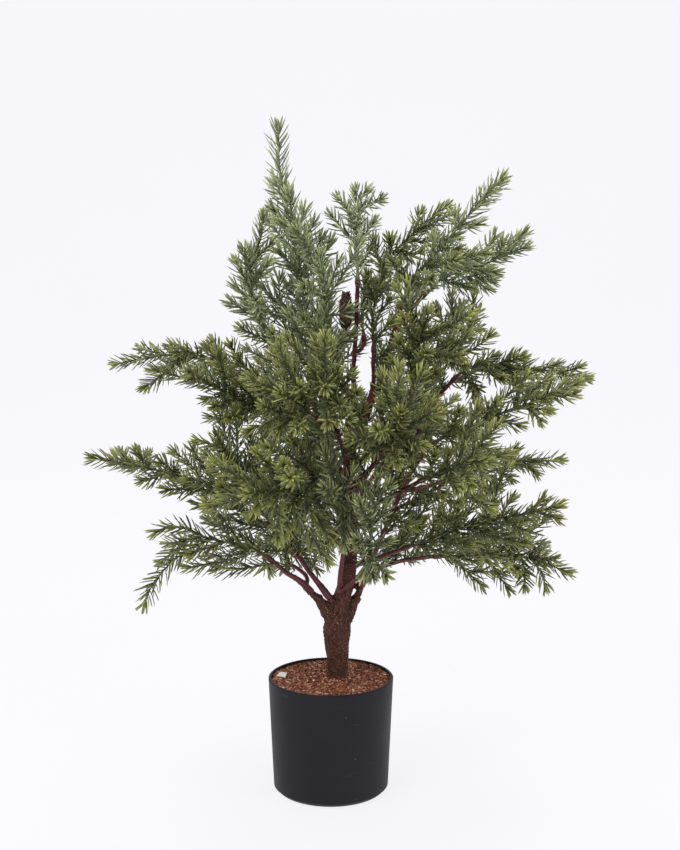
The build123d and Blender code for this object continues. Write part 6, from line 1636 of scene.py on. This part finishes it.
def chips_object():
    rnd = np.random.default_rng(77)
    sheet = Sheet()
    for _ in range(CHIP_TRIES):
        r = BED_RADIUS * math.sqrt(rnd.uniform(0, 0.985))
        angle = rnd.uniform(0, 2 * math.pi)
        x, y = r * math.cos(angle), r * math.sin(angle)
        if math.hypot(x - TRUNK_X, y) < 8.5:
            continue
        pick = rnd.uniform()
        # the dark chips are partly dark sawdust, partly painted shade of the gaps
        colour = (SAW_RED if pick < 0.48 else SAW_TAN if pick < 0.68
                  else SAW_DARK_AND_GAP_SHADE if pick < 0.90 else SAW_CREAM)
        size = (rnd.uniform(0.9, 3.0), rnd.uniform(0.6, 1.7), rnd.uniform(0.3, 0.9))
        chip(sheet, x, y, lift=rnd.uniform(-0.1, 0.35), size=size, spin=rnd.uniform(0, TURN),
             tilt=rnd.normal(0, 0.6), colour=colour * rnd.uniform(0.5, 1.35), rnd=rnd)
    # one large pale flake by the left rim
    chip(sheet, -45.0, 4.0, lift=1.4, size=(8.5, 6.0, 0.9), spin=-0.5, tilt=0.30,
         colour=SAW_WHITE, rnd=rnd)
    for x, y in CREAM_FLAKES:
        chip(sheet, x, y, lift=0.5, size=(3.4, 1.8, 0.7), spin=rnd.uniform(0, 3), tilt=0.2,
             colour=SAW_CREAM, rnd=rnd)
    return sheet.object("sawdust_chips", SAWDUST_MAT, smooth=False)


place(bed_object(), "sawdust_topping")
place(chips_object(), "sawdust_topping", replaces=False)

# ---- cones: a core with overlapping scales on a wire stalk ---------------------------------
# stalk path, which ends at the cone's foot; tip; largest radius
CONES = {
    "pine_cone_upper": ([(22.2, 5.0, 411.2), (16.6, -9.3, 416.1), (13.3, -4.0, 425.7)],
                        (13.8, 5.6, 457.0), 9.375),
    "pine_cone_lower": ([(66.8, -21.9, 289.6), (62.6, -38.7, 304.2), (64.3, -36.9, 313.6)],
                        (77.1, -53.3, 338.5), 8.75),
}
CONE_SCALES = 74
# outline of a scale as (share of width, share of length)
SCALE_OUTLINE = [(-0.28, 0.0), (0.28, 0.0), (0.46, 0.42), (0.40, 0.80),
                 (0.14, 1.0), (-0.14, 1.0), (-0.40, 0.80), (-0.46, 0.42)]
STALK_COLOUR = np.array([0.060, 0.020, 0.016])
CORE_COLOUR = np.array([0.022, 0.008, 0.007])
SCALE_EDGE = np.array([0.16, 0.070, 0.045])
SCALE_INNER = np.array([0.055, 0.018, 0.014])


def cone_scale(sheet, root, side, way, out, length, width, shade):
    """One thick, slightly cupped scale, humped in the middle."""
    normal = np.cross(side, way)
    top, bottom = [], []
    for across, along in SCALE_OUTLINE:
        cup = 0.55 * (across * across) * width + 0.10 * length * along * along
        point = root + side * across * width + way * along * length + out * cup * 0.25
        half_thick = 0.42 if along < 0.9 else 0.22
        top.append(point + normal * half_thick)
        bottom.append(point - normal * half_thick)
    middle = root + way * length * 0.55
    verts = np.vstack([top, bottom, [middle + normal * 0.75], [middle - normal * 0.35]])
    tris, quads = [], []
    for j in range(8):
        k = (j + 1) % 8
        tris += [(16, j, k), (17, 8 + k, 8 + j)]
        quads.append((j, 8 + j, 8 + k, k))
    edge, inner = SCALE_EDGE * shade, SCALE_INNER * shade
    outline = [inner if along < 0.5 else edge for _, along in SCALE_OUTLINE]
    sheet.add(verts, np.vstack([outline, outline, [inner * 1.2], [inner]]), quads, tris)


def cone_object(name, stalk, tip, max_radius, seed):
    rnd = np.random.default_rng(seed)
    sheet = Sheet()
    foot, tip = np.array(stalk[-1]), np.array(tip)
    axis = unit(tip - foot)
    length = np.linalg.norm(tip - foot)
    x = unit(np.cross(axis, [0.3, 1.0, 0.2]))
    y = np.cross(axis, x)
    wire = smooth_path(np.vstack([stalk, foot + axis * 1.0]), 1.0)
    tube(sheet, wire, 1.15 * np.ones(len(wire)), 10, STALK_COLOUR)
    share = np.linspace(0.0, 1.0, 14)
    core = 0.62 * max_radius * np.sqrt(np.clip(1 - ((share - 0.42) / 0.62) ** 2, 0.03, 1))
    tube(sheet, foot + axis * (share * length * 0.96)[:, None], core, 14, CORE_COLOUR)
    for i in range(CONE_SCALES):
        height = 0.03 + 0.90 * ((i + 0.5) / CONE_SCALES)  # share of the cone's length
        angle = i * GOLDEN_ANGLE
        out = np.cos(angle) * x + np.sin(angle) * y
        body_radius = max_radius * math.sqrt(max(0.06, 1 - ((height - 0.40) / 0.66) ** 2))
        root = foot + axis * (height * length) + out * body_radius * 0.35
        lift = math.radians(52 - 30 * height + rnd.normal(0, 5))
        way = unit(axis * math.cos(lift) + out * math.sin(lift))
        scale_length = 4.6 * (1 - 0.45 * abs(height - 0.45)) * rnd.uniform(0.88, 1.1)
        fullness = math.sin(math.pi * min(1, height + 0.15))
        scale_width = 4.2 * (0.55 + 0.45 * fullness) * rnd.uniform(0.9, 1.1)
        cone_scale(sheet, root, np.cross(axis, out), way, out, scale_length, scale_width,
                   shade=rnd.uniform(0.7, 1.3))
    return sheet.object(name + "_scales", CONE_MAT)


for i, (name, (stalk, tip, max_radius)) in enumerate(CONES.items()):
    place(cone_object(name, stalk, tip, max_radius, seed=40 + i), name)


# ---- floor, lights, world and camera, in metres --------------------------------------------
FLOOR_HALF_WIDTH = 5.0
FLOOR_FRONT, FLOOR_BACK = -3.2, 1.5
SWEEP_RADIUS, SWEEP_STEPS = 1.4, 12
WALL_TOP = 4.6
FLOOR_DROP = 0.0006  # keeps the floor just under the pot


def paper_material():
    sh = Shader("studio_paper")
    cloud = sh.noise(sh.coords(), scale=3.0, detail=2.0)
    sh.set("Base Color", sh.ramp(cloud, (0.2, (0.118, 0.118, 0.123)),
                                 (0.8, (0.124, 0.124, 0.129))))
    sh.set("Emission Color", (0.816, 0.808, 0.848, 1.0))
    sh.set("Emission Strength", 1.0)
    sh.set("Roughness", 0.95)
    sh.set("Specular IOR Level", 0.05)
    return sh.material


def backdrop():
    """A flat floor that sweeps up into a back wall."""
    profile = [(FLOOR_FRONT, 0.0), (FLOOR_BACK, 0.0)]
    for i in range(1, SWEEP_STEPS + 1):
        angle = math.radians(90 * i / SWEEP_STEPS)
        profile.append((FLOOR_BACK + SWEEP_RADIUS * math.sin(angle),
                        SWEEP_RADIUS * (1 - math.cos(angle))))
    profile.append((FLOOR_BACK + SWEEP_RADIUS, WALL_TOP))
    verts = [(x, y, z - FLOOR_DROP) for y, z in profile
             for x in (-FLOOR_HALF_WIDTH, FLOOR_HALF_WIDTH)]
    faces = [(2 * i, 2 * i + 1, 2 * i + 3, 2 * i + 2) for i in range(len(profile) - 1)]
    mesh = bpy.data.meshes.new("studio_floor")
    mesh.from_pydata(verts, [], faces)
    for face in mesh.polygons:
        face.use_smooth = True
    ob = bpy.data.objects.new("studio_floor", mesh)
    bpy.context.scene.collection.objects.link(ob)
    mesh.materials.append(paper_material())


def area_light(name, location, size, power, colour=(1, 1, 1)):
    """A square area light aimed at the middle of the tree."""
    light = bpy.data.lights.new(name, "AREA")
    light.shape = "RECTANGLE"
    light.size = light.size_y = size
    light.energy = power
    light.color = colour
    ob = bpy.data.objects.new(name, light)
    ob.location = location
    aim = Vector((0, 0, 0.30)) - Vector(location)
    ob.rotation_euler = aim.to_track_quat("-Z", "Y").to_euler()
    bpy.context.scene.collection.objects.link(ob)


def studio_world():
    """One grey lights the scene; a brighter one is what the camera sees."""
    world = bpy.data.worlds.new("studio")
    world.use_nodes = True
    nodes, links = world.node_tree.nodes, world.node_tree.links
    lighting = nodes["Background"]
    lighting.inputs["Color"].default_value = (0.965, 0.970, 1.0, 1.0)
    lighting.inputs["Strength"].default_value = 0.56
    seen = nodes.new("ShaderNodeBackground")
    seen.inputs["Color"].default_value = (0.939, 0.930, 0.973, 1.0)
    seen.inputs["Strength"].default_value = 1.0
    switch = nodes.new("ShaderNodeMixShader")
    camera_ray = nodes.new("ShaderNodeLightPath").outputs["Is Camera Ray"]
    links.new(camera_ray, switch.inputs[0])
    links.new(lighting.outputs[0], switch.inputs[1])
    links.new(seen.outputs[0], switch.inputs[2])
    links.new(switch.outputs[0], nodes["World Output"].inputs["Surface"])
    bpy.context.scene.world = world


def studio_camera(location, tilt_down, lens):
    camera = bpy.data.cameras.new("camera")
    camera.lens = lens
    camera.sensor_width = 36.0
    camera.clip_start = 0.01
    ob = bpy.data.objects.new("camera", camera)
    ob.location = location
    ob.rotation_euler = (math.radians(90 - tilt_down), 0, 0)
    bpy.context.scene.collection.objects.link(ob)
    bpy.context.scene.camera = ob


backdrop()
area_light("key", (-1.5, -1.6, 2.2), size=1.5, power=37.0, colour=(1.0, 0.99, 0.97))
area_light("fill", (1.9, -1.2, 1.3), size=1.5, power=20.0, colour=(0.97, 0.98, 1.0))
area_light("top", (0.0, 0.4, 2.6), size=1.6, power=25.0)
studio_world()
studio_camera((0.0084, -1.12665, 0.46991), tilt_down=6.704, lens=53.32)
bpy.context.scene.view_settings.view_transform = "Standard"
